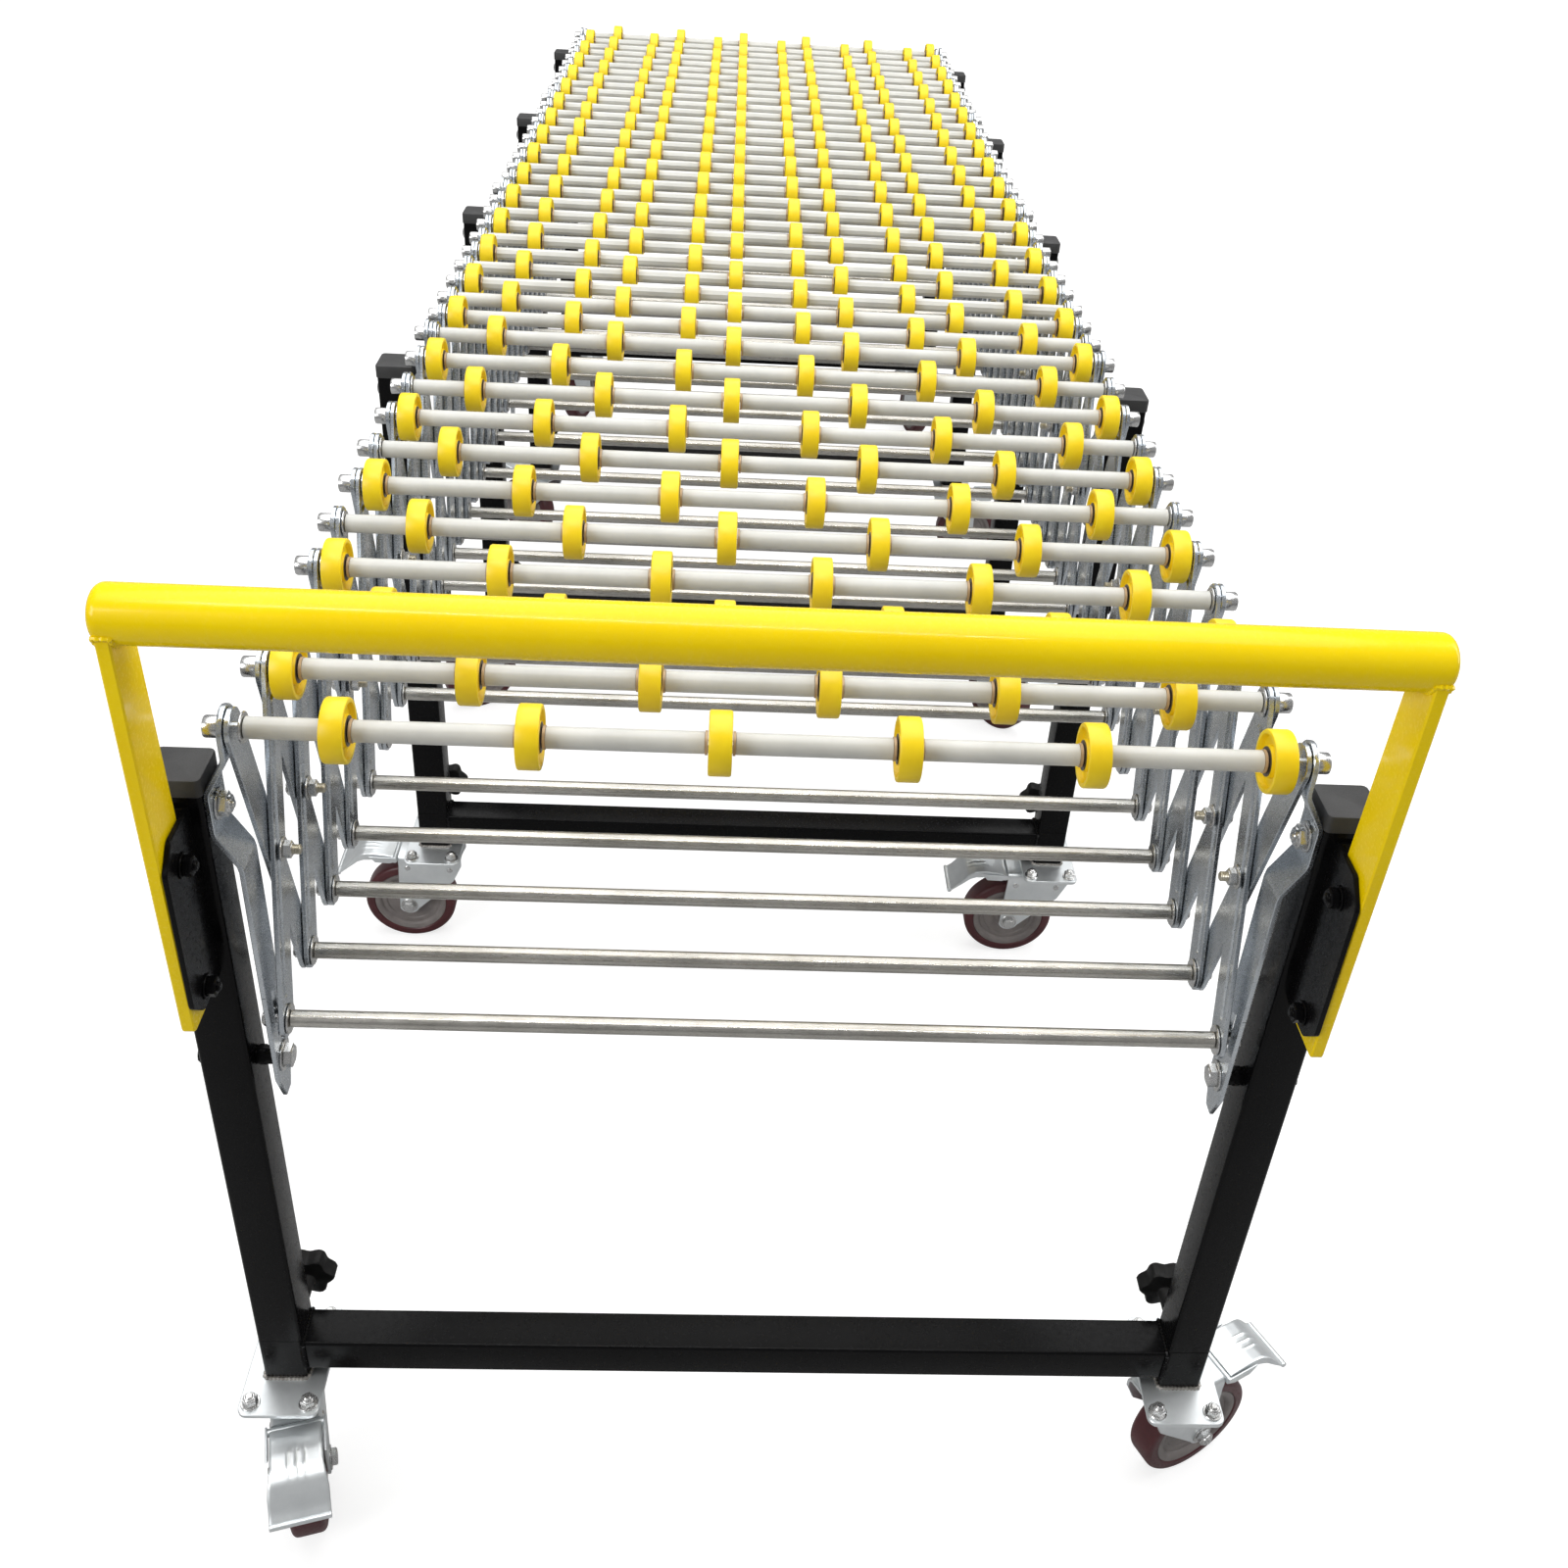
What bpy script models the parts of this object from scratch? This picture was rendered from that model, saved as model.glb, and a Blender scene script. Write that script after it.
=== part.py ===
"""Expandable gravity conveyor: skate wheels on scissor links, carried by five wheeled leg frames.

Lengths are in metres and +Z is up. The bed runs along Y, with row 1 and the push handle at -Y.
The origin is on the floor under the middle of the bed. The ten scissor cells between the first
two leg frames are built as separate link pairs, and the cells behind them as two fused beds.
"""

import math

import bmesh
import bpy
from mathutils import Matrix, Vector

# Rows of skate wheels
ROW_COUNT = 41
FRONT_CELLS = 10
BED_SPLIT_ROW = 26
LEG_ROWS = (1, 11, 21, 31, 41)
FREE_ROLLER_ROWS = 6
FRONT_SPACING = 0.080
REAR_SPACING = 0.062
AXLE_HEIGHT = 0.895
WHEELS_PER_ROW = 6
WHEEL_END_GAP = 0.0125
ROW_STAGGER = 0.027
SKATE_RADIUS = 0.024
SKATE_WIDTH = 0.017
SLEEVE_RADIUS = 0.0075
AXLE_RADIUS = 0.004
CAP_NUT_RADIUS = 0.008
CAP_NUT_LENGTH = 0.0115
ROLLER_STEPS = 6
FUSED_ROLLER_STEPS = 5
PIN_STEPS = 5
BAR_STEPS = 4

# Scissor links and bottom rods
LINK_LENGTH = 0.2922
LINK_WIDTH = 0.030
LINK_THICKNESS = 0.004
HALF_CLEAR_WIDTH = 0.377
PLATE_GAP = 0.0005
ROD_RADIUS = 0.007
ROD_PIN_PROUD = 0.004
MID_NUT_RADIUS = 0.0075
MID_NUT_LENGTH = 0.009
MID_PIN_PROUD = 0.0035
LEAST_SPACING = 0.045
MOST_SPACING = 0.125
SLOT_SPARE = 0.004
SLOT_HEADROOM = 0.014
BED_END_OVERHANG = 0.013

# Leg tubes, their caps and the zinc brackets
TUBE_SIDE = 0.040
TUBE_WALL = 0.0025
TUBE_TOP_DROP = 0.036
CAP_SKIRT = 0.012
CAP_OVERLAP = 0.0012
CAP_THICKNESS = 0.003
BRACKET_THICKNESS = 0.004
BRACKET_WIDTH = 0.034
BRACKET_BEND_TOP = 0.020
BRACKET_SEAT_TOP = 0.050
BRACKET_SEAT_BOTTOM = 0.085
BRACKET_BEND_BOTTOM = 0.118
BRACKET_SHOULDER = 0.335
BRACKET_TIP = 0.362
BRACKET_TIP_WIDTH = 0.012
BRACKET_NUT_RADIUS = 0.009
BRACKET_NUT_LENGTH = 0.009
UPPER_BOLT_DROP = 0.0675
LOWER_BOLT_DROP = 0.322
SPACER_RADIUS = 0.008
SPACER_LENGTH = 0.0163

# Lower leg frames
POST_LENGTH = 0.433
CROSSBAR_SIDE = 0.038
CROSSBAR_RISE = 0.013
SEAM_RISE = 0.0045
CASTER_PLATE_WIDTH = 0.074
CASTER_PLATE_LENGTH = 0.116
CASTER_PLATE_THICKNESS = 0.005
KNOB_RISE = 0.0085
KNOB_INSET = 0.008
KNOB_NECK_RADIUS = 0.007
KNOB_NECK_LENGTH = 0.021
KNOB_RADIUS = 0.025
KNOB_WAIST = 0.0195
KNOB_DEPTH = 0.018

# Swivel casters with brake pedals
CASTER_WHEEL_RADIUS = 0.0625
CASTER_WHEEL_WIDTH = 0.032
CASTER_WHEEL_STEPS = 12
CASTER_WHEEL_GAP = 0.0197
CASTER_TRAIL = 0.042
CASTER_AXLE_RADIUS = 0.005
CASTER_AXLE_END = 0.028
RACE_RADIUS = 0.030
RACE_DEPTH = 0.014
RACE_STEPS = 6
FORK_WIDTH = 0.046
FORK_WALL = 0.003
FORK_BRIDGE_FRONT = 0.034
FORK_BRIDGE_BACK = 0.052
FORK_TOE = 0.013
PEDAL_WIDTH = 0.055
PEDAL_REACH = 0.136
PEDAL_KNEE_REACH = 0.100
PEDAL_RISE = 0.010
PEDAL_FALL = 0.026
PEDAL_THICKNESS = 0.003
PEDAL_BARREL_RADIUS = 0.004
CASTER_TURNS = {
    (1, -1): 15.0, (1, 1): 117.0,
    (2, -1): -90.0, (2, 1): -90.0,
    (3, -1): -60.0, (3, 1): 40.0,
    (4, -1): -125.0, (4, 1): 90.0,
    (5, -1): 160.0, (5, 1): 195.0,
}

# Push handle and the angle brackets that hold it
HANDLE_RADIUS = 0.020
HANDLE_OVERHANG = 0.0037
HANDLE_END_ROUND = 0.006
HANDLE_STEPS = 10
HANDLE_FORWARD = 0.062
HANDLE_RISE = 0.126
ARM_THICKNESS = 0.010
ARM_SET_OUT = 0.0135
ARM_BACK = 0.026
ARM_FRONT = 0.074
ARM_TOP_BACK = 0.043
ARM_TOP_FRONT = 0.081
ARM_BOTTOM_DROP = 0.225
ANGLE_THICKNESS = 0.004
ANGLE_REACH = 0.078
ANGLE_TOP_DROP = 0.055
ANGLE_BOTTOM_DROP = 0.215
ANGLE_CORNER = 0.018
ANGLE_BOLT_DROPS = (0.085, 0.200)
ANGLE_BOLT_FORWARD = 0.050
DOME_RADIUS = 0.009
DOME_HEIGHT = 0.005

# Fits
CLEARANCE = 0.0003
JOIN_OVERLAP = 0.0005
OVERRUN = 0.002
MERGE_DISTANCE = 0.00001

# Places worked out from the sizes
BED_LENGTH = FRONT_CELLS * FRONT_SPACING + (ROW_COUNT - 1 - FRONT_CELLS) * REAR_SPACING
FRONT_DROP = math.sqrt(LINK_LENGTH**2 - FRONT_SPACING**2)
REAR_DROP = math.sqrt(LINK_LENGTH**2 - REAR_SPACING**2)
DEEPEST_DROP = math.sqrt(LINK_LENGTH**2 - LEAST_SPACING**2)
HIGHEST_DROP = math.sqrt(LINK_LENGTH**2 - MOST_SPACING**2)
INNER_PLANE = (HALF_CLEAR_WIDTH, HALF_CLEAR_WIDTH + LINK_THICKNESS)
OUTER_PLANE = (INNER_PLANE[1] + PLATE_GAP, INNER_PLANE[1] + PLATE_GAP + LINK_THICKNESS)
BRACKET_PLANE = (OUTER_PLANE[1] + PLATE_GAP, OUTER_PLANE[1] + PLATE_GAP + BRACKET_THICKNESS)
WHEEL_PITCH = 2 * (HALF_CLEAR_WIDTH - ROW_STAGGER - WHEEL_END_GAP) / (WHEELS_PER_ROW - 1)
TUBE_FACE_X = BRACKET_PLANE[1] + SPACER_LENGTH
TUBE_CENTRE_X = TUBE_FACE_X + TUBE_SIDE / 2
TUBE_TOP = AXLE_HEIGHT - TUBE_TOP_DROP
ARM_INNER_X = TUBE_FACE_X + ARM_SET_OUT
HANDLE_HALF_LENGTH = ARM_INNER_X + ARM_THICKNESS + HANDLE_OVERHANG
BRIDGE_TOP = 2 * CASTER_WHEEL_RADIUS + CASTER_WHEEL_GAP + FORK_WALL
FOOT_HEIGHT = BRIDGE_TOP + RACE_DEPTH + CLEARANCE + CASTER_PLATE_THICKNESS
CROSSBAR_BOTTOM = FOOT_HEIGHT + CROSSBAR_RISE
SEAM_HEIGHT = CROSSBAR_BOTTOM + CROSSBAR_SIDE + SEAM_RISE
POST_TOP = FOOT_HEIGHT + POST_LENGTH
KNOB_HEIGHT = SEAM_HEIGHT + KNOB_RISE
KNOB_X = TUBE_FACE_X + KNOB_INSET
PEDAL_PIVOT_BACK = FORK_BRIDGE_BACK + PEDAL_BARREL_RADIUS + CLEARANCE
PEDAL_PIVOT_HEIGHT = BRIDGE_TOP - PEDAL_BARREL_RADIUS
SIDES = (-1, 1)
SIDE_NAMES = {-1: "left", 1: "right"}

# Colour, metallic share and roughness of each finish
FINISHES = {
    "skate_yellow": ((0.93, 0.67, 0.02), 0.0, 0.35),
    "zinc_plate": ((0.62, 0.65, 0.67), 0.9, 0.35),
    "bare_steel": ((0.55, 0.54, 0.51), 1.0, 0.25),
    "black_paint": ((0.012, 0.012, 0.013), 0.0, 0.25),
    "yellow_paint": ((0.95, 0.74, 0.02), 0.0, 0.25),
    "black_plastic": ((0.02, 0.02, 0.02), 0.0, 0.5),
    "caster_tread": ((0.10, 0.012, 0.016), 0.0, 0.4),
}


def row_y(row):
    """Y of a row's axle, counted from the handle end."""
    front = min(row - 1, FRONT_CELLS)
    return -BED_LENGTH / 2 + front * FRONT_SPACING + (row - 1 - front) * REAR_SPACING


def clear_scene():
    """Removes every object of the open scene."""
    for item in list(bpy.data.objects):
        bpy.data.objects.remove(item, do_unlink=True)


def new_collection(name):
    """A collection under the scene's own."""
    collection = bpy.data.collections.new(name)
    bpy.context.scene.collection.children.link(collection)
    return collection


def finish_material(name):
    """The material of a finish, made once."""
    found = bpy.data.materials.get(name)
    if found:
        return found
    colour, metallic, roughness = FINISHES[name]
    material = bpy.data.materials.new(name)
    material.use_nodes = True
    shader = material.node_tree.nodes["Principled BSDF"]
    shader.inputs["Base Color"].default_value = (*colour, 1.0)
    shader.inputs["Metallic"].default_value = metallic
    shader.inputs["Roughness"].default_value = roughness
    material.diffuse_color = (*colour, 1.0)
    return material


def tidy_mesh(mesh):
    """Welds loose caps and turns every face outwards."""
    work = bmesh.new()
    work.from_mesh(mesh)
    bmesh.ops.remove_doubles(work, verts=work.verts, dist=MERGE_DISTANCE)
    bmesh.ops.recalc_face_normals(work, faces=work.faces)
    work.to_mesh(mesh)
    work.free()
    return mesh


def baked(guide):
    """The evaluated mesh of a guide object, which is then removed."""
    bpy.context.scene.collection.objects.link(guide)
    graph = bpy.context.evaluated_depsgraph_get()
    mesh = bpy.data.meshes.new_from_object(guide.evaluated_get(graph))
    bpy.data.objects.remove(guide, do_unlink=True)
    return tidy_mesh(mesh)


def flat_plate(outline, thickness, holes=()):
    """A plate in the local XY plane, from its outline and the outlines of its holes."""
    curve = bpy.data.curves.new("plate_outline", "CURVE")
    curve.dimensions = "2D"
    curve.fill_mode = "BOTH"
    curve.extrude = thickness / 2
    for ring in [outline, *holes]:
        spline = curve.splines.new("POLY")
        spline.points.add(len(ring) - 1)
        for point, (across, up) in zip(spline.points, ring):
            point.co = (across, up, 0.0, 1.0)
        spline.use_cyclic_u = True
    return baked(bpy.data.objects.new("plate_outline", curve))


def prism(radius, length, steps):
    """A bar with flat sides, centred on its own origin and running along local Z."""
    return flat_plate(arc((0.0, 0.0), radius, 0.0, 360.0 - 360.0 / steps, steps - 1), length)


def turned(profile, steps):
    """A solid turned about local Z, from (height, radius) pairs that run from the top down."""
    mesh = bpy.data.meshes.new("turned_profile")
    points = [(radius, 0.0, height) for height, radius in profile]
    edges = [(i, i + 1) for i in range(len(points) - 1)]
    if profile[0][1] > 0.0:
        edges.append((len(points) - 1, 0))
    mesh.from_pydata(points, edges, [])
    guide = bpy.data.objects.new("turned_profile", mesh)
    screw = guide.modifiers.new("turn", "SCREW")
    screw.steps = steps
    screw.render_steps = steps
    screw.use_merge_vertices = True
    screw.merge_threshold = MERGE_DISTANCE
    return baked(guide)


def box(width, depth, height):
    """A box centred on its own origin."""
    mesh = bpy.data.meshes.new("box")
    work = bmesh.new()
    bmesh.ops.create_cube(work, size=1.0)
    bmesh.ops.scale(work, vec=(width, depth, height), verts=work.verts)
    work.to_mesh(mesh)
    work.free()
    return mesh


def at(x, y, z):
    """Places a piece by moving it."""
    return Matrix.Translation((x, y, z))


def box_between(low, high):
    """A box between two corners, as a placed piece."""
    low = Vector(low)
    high = Vector(high)
    size = high - low
    return box(*size), at(*((low + high) / 2))


def sided_box(side, near, far, y_range, z_range):
    """A box on one side of the bed, from its nearest and farthest distance to the middle."""
    low_x, high_x = sorted((side * near, side * far))
    return box_between((low_x, y_range[0], z_range[0]), (high_x, y_range[1], z_range[1]))


def along_x(x, y, z):
    """Places a piece with its local Z along X."""
    return at(x, y, z) @ Matrix.Rotation(math.pi / 2, 4, "Y")


def along_side(side, y, z):
    """Places a turned piece whose heights are distances from the middle of the bed."""
    return at(0.0, y, z) @ Matrix.Rotation(side * math.pi / 2, 4, "Y")


def upright(x, y, z):
    """Places a plate with its local X along Y and its local Y along Z."""
    turn = Matrix(((0, 0, 1, 0), (1, 0, 0, 0), (0, 1, 0, 0), (0, 0, 0, 1)))
    return at(x, y, z) @ turn


def facing_front(x, y, z):
    """Places a plate with its local X along X and its local Y along Z."""
    return at(x, y, z) @ Matrix.Rotation(math.pi / 2, 4, "X")


def arc(centre, radius, start, end, count):
    """Points of an arc, with its angles in degrees."""
    angles = [math.radians(start + (end - start) * i / count) for i in range(count + 1)]
    return [(centre[0] + radius * math.cos(a), centre[1] + radius * math.sin(a)) for a in angles]


def pivot_hole(centre, pin_radius):
    """A five-sided hole that a pin of this radius turns in."""
    radius = (pin_radius + CLEARANCE) / math.cos(math.pi / 5)
    return arc(centre, radius, 0.0, 288.0, 4)


def upright_slot(y, low, high, pin_radius):
    """A slot along Z that a pin of this radius slides in."""
    radius = (pin_radius + CLEARANCE) / math.cos(math.pi / 6)
    return arc((y, high), radius, 0.0, 180.0, 3) + arc((y, low), radius, 180.0, 360.0, 3)


def link_outline(start, end):
    """The outline of a link with rounded ends between two pivots."""
    lean = math.degrees(math.atan2(end[1] - start[1], end[0] - start[0]))
    return (
        arc(start, LINK_WIDTH / 2, lean + 90.0, lean + 270.0, 3)
        + arc(end, LINK_WIDTH / 2, lean - 90.0, lean + 90.0, 3)
    )


def pair_of_plates(outline, plane, y, z, holes=()):
    """The same upright plate on both sides of the bed."""
    plate = flat_plate(outline, plane[1] - plane[0], holes)
    middle = (plane[0] + plane[1]) / 2
    return [(plate, upright(side * middle, y, z)) for side in SIDES]


def both_ends(half):
    """A profile from its half: (distance from the middle, radius) pairs from the tip inwards."""
    return half + [(-distance, radius) for distance, radius in reversed(half)]


def wheel_middles(row):
    """Distances from the middle of the bed to a row's wheels, from right to left."""
    shift = ROW_STAGGER if row % 2 else -ROW_STAGGER
    half = (WHEELS_PER_ROW - 1) / 2
    return [shift + (index - half) * WHEEL_PITCH for index in reversed(range(WHEELS_PER_ROW))]


def roller_profile(row):
    """The outer profile of a row's wheels and sleeves, from right to left."""
    end = HALF_CLEAR_WIDTH - PLATE_GAP
    profile = [(end, SLEEVE_RADIUS)]
    for middle in wheel_middles(row):
        for edge, radius in (
            (SKATE_WIDTH / 2, SLEEVE_RADIUS),
            (SKATE_WIDTH / 2, SKATE_RADIUS),
            (-SKATE_WIDTH / 2, SKATE_RADIUS),
            (-SKATE_WIDTH / 2, SLEEVE_RADIUS),
        ):
            profile.append((middle + edge, radius))
    profile.append((-end, SLEEVE_RADIUS))
    return profile


def pin_ends(nut_face, nut_radius, nut_length, pin_radius):
    """The tip, nut and pin at the right end of an axle or rod, from the tip inwards."""
    tip = nut_face + nut_length
    return [(tip, 0.0), (tip, nut_radius), (nut_face, nut_radius), (nut_face, pin_radius)]


def axle_mesh(nut_face, row=None):
    """An axle with its cap nuts, and with a row of wheels fused on where a row is given."""
    end = pin_ends(nut_face, CAP_NUT_RADIUS, CAP_NUT_LENGTH, AXLE_RADIUS)
    if row is None:
        return turned(both_ends(end), PIN_STEPS)
    wheels = roller_profile(row)
    start = [(wheels[0][0], AXLE_RADIUS)]
    finish = [(wheels[-1][0], AXLE_RADIUS)]
    left = [(-distance, radius) for distance, radius in reversed(end)]
    return turned(end + start + wheels + finish + left, FUSED_ROLLER_STEPS)


def rod_mesh(outer_face):
    """A bottom rod: a wide tube between the links, and pins that stand proud outside them."""
    shoulder = HALF_CLEAR_WIDTH - PLATE_GAP
    tip = outer_face + ROD_PIN_PROUD
    half = [(tip, 0.0), (tip, AXLE_RADIUS), (shoulder, AXLE_RADIUS), (shoulder, ROD_RADIUS)]
    return turned(both_ends(half), PIN_STEPS)


def mid_pin_mesh():
    """A middle bolt: its nut inside, and its shank through both links."""
    nut_tip = INNER_PLANE[0] - MID_NUT_LENGTH
    nut_face = INNER_PLANE[0] + JOIN_OVERLAP
    shank_tip = OUTER_PLANE[1] + MID_PIN_PROUD
    profile = [
        (shank_tip, 0.0), (shank_tip, AXLE_RADIUS), (nut_face, AXLE_RADIUS),
        (nut_face, MID_NUT_RADIUS), (nut_tip, MID_NUT_RADIUS), (nut_tip, 0.0),
    ]
    return turned(profile, PIN_STEPS)


def group_of(name, pieces):
    """A hidden collection that holds placed pieces, for a Boolean to read."""
    group = new_collection(name)
    for mesh, place in pieces:
        item = bpy.data.objects.new(name, mesh)
        item.matrix_world = place
        group.objects.link(item)
    return group


def empty_group(group):
    """Removes a collection and what it holds."""
    for item in list(group.objects):
        bpy.data.objects.remove(item, do_unlink=True)
    bpy.data.collections.remove(group)


def fused_mesh(pieces, cuts=()):
    """One closed mesh from pieces that overlap, less the cuts."""
    if len(pieces) == 1 and not cuts:
        mesh = pieces[0][0].copy()
        mesh.transform(pieces[0][1])
        return mesh
    base = bpy.data.objects.new("fused", pieces[0][0])
    base.matrix_world = pieces[0][1]
    groups = []
    for operation, members in (("UNION", pieces[1:]), ("DIFFERENCE", cuts)):
        if not members:
            continue
        groups.append(group_of(operation.lower(), members))
        boolean = base.modifiers.new(operation.lower(), "BOOLEAN")
        boolean.operation = operation
        boolean.solver = "EXACT"
        boolean.operand_type = "COLLECTION"
        boolean.collection = groups[-1]
    place = base.matrix_world.copy()
    mesh = baked(base)
    mesh.transform(place)
    for group in groups:
        empty_group(group)
    return mesh


class Builder:
    """Makes the named objects of the conveyor and keeps them by name."""

    def __init__(self, collection):
        self.collection = collection
        self.made = {}

    def add(self, name, finish, mesh, origin, parent=None, turn=0.0):
        """An object whose mesh is given about its origin, turned about Z in degrees."""
        mesh.name = name
        mesh.materials.clear()
        mesh.materials.append(finish_material(finish))
        mesh.shade_smooth()
        mesh.set_sharp_from_angle(angle=math.radians(35.0))
        item = bpy.data.objects.new(name, mesh)
        world = at(*origin) @ Matrix.Rotation(math.radians(turn), 4, "Z")
        if parent:
            item.parent = self.made[parent]
            world = item.parent.matrix_world.inverted() @ world
        item.matrix_local = world
        self.collection.objects.link(item)
        self.made[name] = item
        bpy.context.view_layer.update()
        return item

    def fuse(self, name, finish, pieces, origin=(0.0, 0.0, 0.0), parent=None, cuts=()):
        """An object fused from pieces placed in the part's frame."""
        mesh = fused_mesh(pieces, cuts)
        mesh.transform(at(*origin).inverted())
        return self.add(name, finish, mesh, origin, parent)


def lattice_outline(first, last, starts_cut, ends_cut):
    """The side view of fused scissor cells from one row to another, and its diamond holes.

    An end that is cut stops at the middle of the next cell instead of at its own row.
    """
    lean = REAR_SPACING / REAR_DROP
    half = LINK_WIDTH / 2 / (REAR_DROP / LINK_LENGTH)
    middle = -REAR_DROP / 2
    reach = half / lean
    top = BED_END_OVERHANG
    bottom = -REAR_DROP - BED_END_OVERHANG
    joint = CLEARANCE / 2
    upper = []
    lower = []
    holes = []
    if starts_cut:
        y = row_y(first) - REAR_SPACING / 2 + joint
        upper.append((y, middle + reach))
        lower.append((y, middle - reach))
    else:
        upper.append((row_y(first) + REAR_SPACING / 2 - half, middle))
    for row in range(first, last + 1):
        y = row_y(row)
        upper += [(y - half, top), (y + half, top)]
        lower += [(y - half, bottom), (y + half, bottom)]
        if row < last:
            upper.append((y + REAR_SPACING / 2, middle + reach))
            lower.append((y + REAR_SPACING / 2, middle - reach))
        if (row > first or starts_cut) and (row < last or ends_cut):
            gap = REAR_SPACING / 2 - half
            holes.append([(y - gap, middle), (y, -reach), (y + gap, middle), (y, 2 * middle + reach)])
    if ends_cut:
        y = row_y(last) + REAR_SPACING / 2 - joint
        upper.append((y, middle + reach))
        lower.append((y, middle - reach))
    else:
        upper.append((row_y(last) - REAR_SPACING / 2 + half, middle))
    return upper + lower[::-1], holes


def fused_row_pieces(row):
    """A row of wheels on its sleeve and the bottom rod under it, held by the fused bed."""
    reach = HALF_CLEAR_WIDTH + JOIN_OVERLAP
    y = row_y(row)
    sleeve = prism(SLEEVE_RADIUS, 2 * reach, BAR_STEPS)
    rod = prism(ROD_RADIUS, 2 * reach, BAR_STEPS)
    wheel = prism(SKATE_RADIUS, SKATE_WIDTH, FUSED_ROLLER_STEPS)
    pieces = [(sleeve, along_x(0.0, y, AXLE_HEIGHT)), (rod, along_x(0.0, y, AXLE_HEIGHT - REAR_DROP))]
    return pieces + [(wheel, along_x(x, y, AXLE_HEIGHT)) for x in wheel_middles(row)]


def side_disc(side, near, far, radius, y, z):
    """A short round bar along X, between two distances from the middle of the bed."""
    return prism(radius, far - near, PIN_STEPS), along_side(side, y, z) @ at(0.0, 0.0, (near + far) / 2)


def star_knob_mesh():
    """A six-lobed knob on its neck, with local Z towards the tube and the neck's end at zero."""
    rim = []
    for index in range(12):
        radius = KNOB_WAIST if index % 2 else KNOB_RADIUS
        angle = index * math.pi / 6
        rim.append((radius * math.cos(angle), radius * math.sin(angle)))
    star = flat_plate(rim, KNOB_DEPTH)
    neck = turned(
        [(0.0, 0.0), (0.0, KNOB_NECK_RADIUS), (-KNOB_NECK_LENGTH - JOIN_OVERLAP, KNOB_NECK_RADIUS),
         (-KNOB_NECK_LENGTH - JOIN_OVERLAP, 0.0)],
        PIN_STEPS,
    )
    star_place = at(0.0, 0.0, -KNOB_NECK_LENGTH - KNOB_DEPTH / 2)
    return fused_mesh([(star, star_place), (neck, Matrix.Identity(4))])


def plain_knob_mesh():
    """The star knob of a fused leg, turned in one piece with its neck."""
    face = -KNOB_NECK_LENGTH
    profile = [
        (0.0, 0.0), (0.0, KNOB_NECK_RADIUS), (face, KNOB_NECK_RADIUS), (face, KNOB_RADIUS),
        (face - KNOB_DEPTH, KNOB_RADIUS), (face - KNOB_DEPTH, 0.0),
    ]
    return turned(profile, PIN_STEPS)


def behind_tube(side, y, gap):
    """Places a knob behind a leg tube, a gap away from the tube's rear face."""
    rear_face = y + TUBE_SIDE / 2 + gap
    return at(side * KNOB_X, rear_face, KNOB_HEIGHT) @ Matrix.Rotation(math.pi / 2, 4, "X")


def bracket_pieces(side, y, pivoting, slotted):
    """The zinc bracket: round top at the axle, seat bent out to the tube, slotted lower end."""
    thickness = BRACKET_PLANE[1] - BRACKET_PLANE[0]
    plane_x = (BRACKET_PLANE[0] + BRACKET_PLANE[1]) / 2
    seat_x = TUBE_FACE_X + JOIN_OVERLAP - thickness / 2
    half = BRACKET_WIDTH / 2
    head = arc((0.0, 0.0), half, 0.0, 180.0, 3)
    head = head + [(-half, -BRACKET_BEND_TOP), (half, -BRACKET_BEND_TOP)]
    top_holes = [pivot_hole((0.0, 0.0), AXLE_RADIUS)] if pivoting else []
    top = flat_plate(head, thickness, top_holes)
    bend_in = [
        (plane_x, -BRACKET_BEND_TOP + JOIN_OVERLAP), (plane_x, -BRACKET_BEND_TOP),
        (seat_x, -BRACKET_SEAT_TOP), (seat_x, -BRACKET_SEAT_BOTTOM),
        (plane_x, -BRACKET_BEND_BOTTOM), (plane_x, -BRACKET_BEND_BOTTOM - JOIN_OVERLAP),
    ]
    near = [(side * (x - thickness / 2), z) for x, z in bend_in]
    far = [(side * (x + thickness / 2), z) for x, z in reversed(bend_in)]
    bend = flat_plate(near + far, BRACKET_WIDTH)
    tail = [
        (-half, -BRACKET_BEND_BOTTOM), (-half, -BRACKET_SHOULDER),
        (-BRACKET_TIP_WIDTH / 2, -BRACKET_TIP), (BRACKET_TIP_WIDTH / 2, -BRACKET_TIP),
        (half, -BRACKET_SHOULDER), (half, -BRACKET_BEND_BOTTOM),
    ]
    slot = upright_slot(
        0.0, -DEEPEST_DROP - SLOT_SPARE, -HIGHEST_DROP + SLOT_HEADROOM, AXLE_RADIUS
    )
    bottom = flat_plate(tail, thickness, [slot] if slotted else [])
    x = side * plane_x
    lower_bolt = AXLE_HEIGHT - LOWER_BOLT_DROP
    seat_face = TUBE_FACE_X + JOIN_OVERLAP - thickness
    pieces = [
        (bend, facing_front(0.0, y, AXLE_HEIGHT)),
        (top, upright(x, y, AXLE_HEIGHT)),
        (bottom, upright(x, y, AXLE_HEIGHT)),
        side_disc(side, BRACKET_PLANE[1] - JOIN_OVERLAP, TUBE_FACE_X + JOIN_OVERLAP,
                  SPACER_RADIUS, y, lower_bolt),
    ]
    if not pivoting:
        return pieces
    return pieces + [
        side_disc(side, BRACKET_PLANE[0] - BRACKET_NUT_LENGTH, BRACKET_PLANE[0] + JOIN_OVERLAP,
                  BRACKET_NUT_RADIUS, y, lower_bolt),
        side_disc(side, seat_face - BRACKET_NUT_LENGTH, seat_face + JOIN_OVERLAP,
                  BRACKET_NUT_RADIUS, y, AXLE_HEIGHT - UPPER_BOLT_DROP),
    ]


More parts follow.
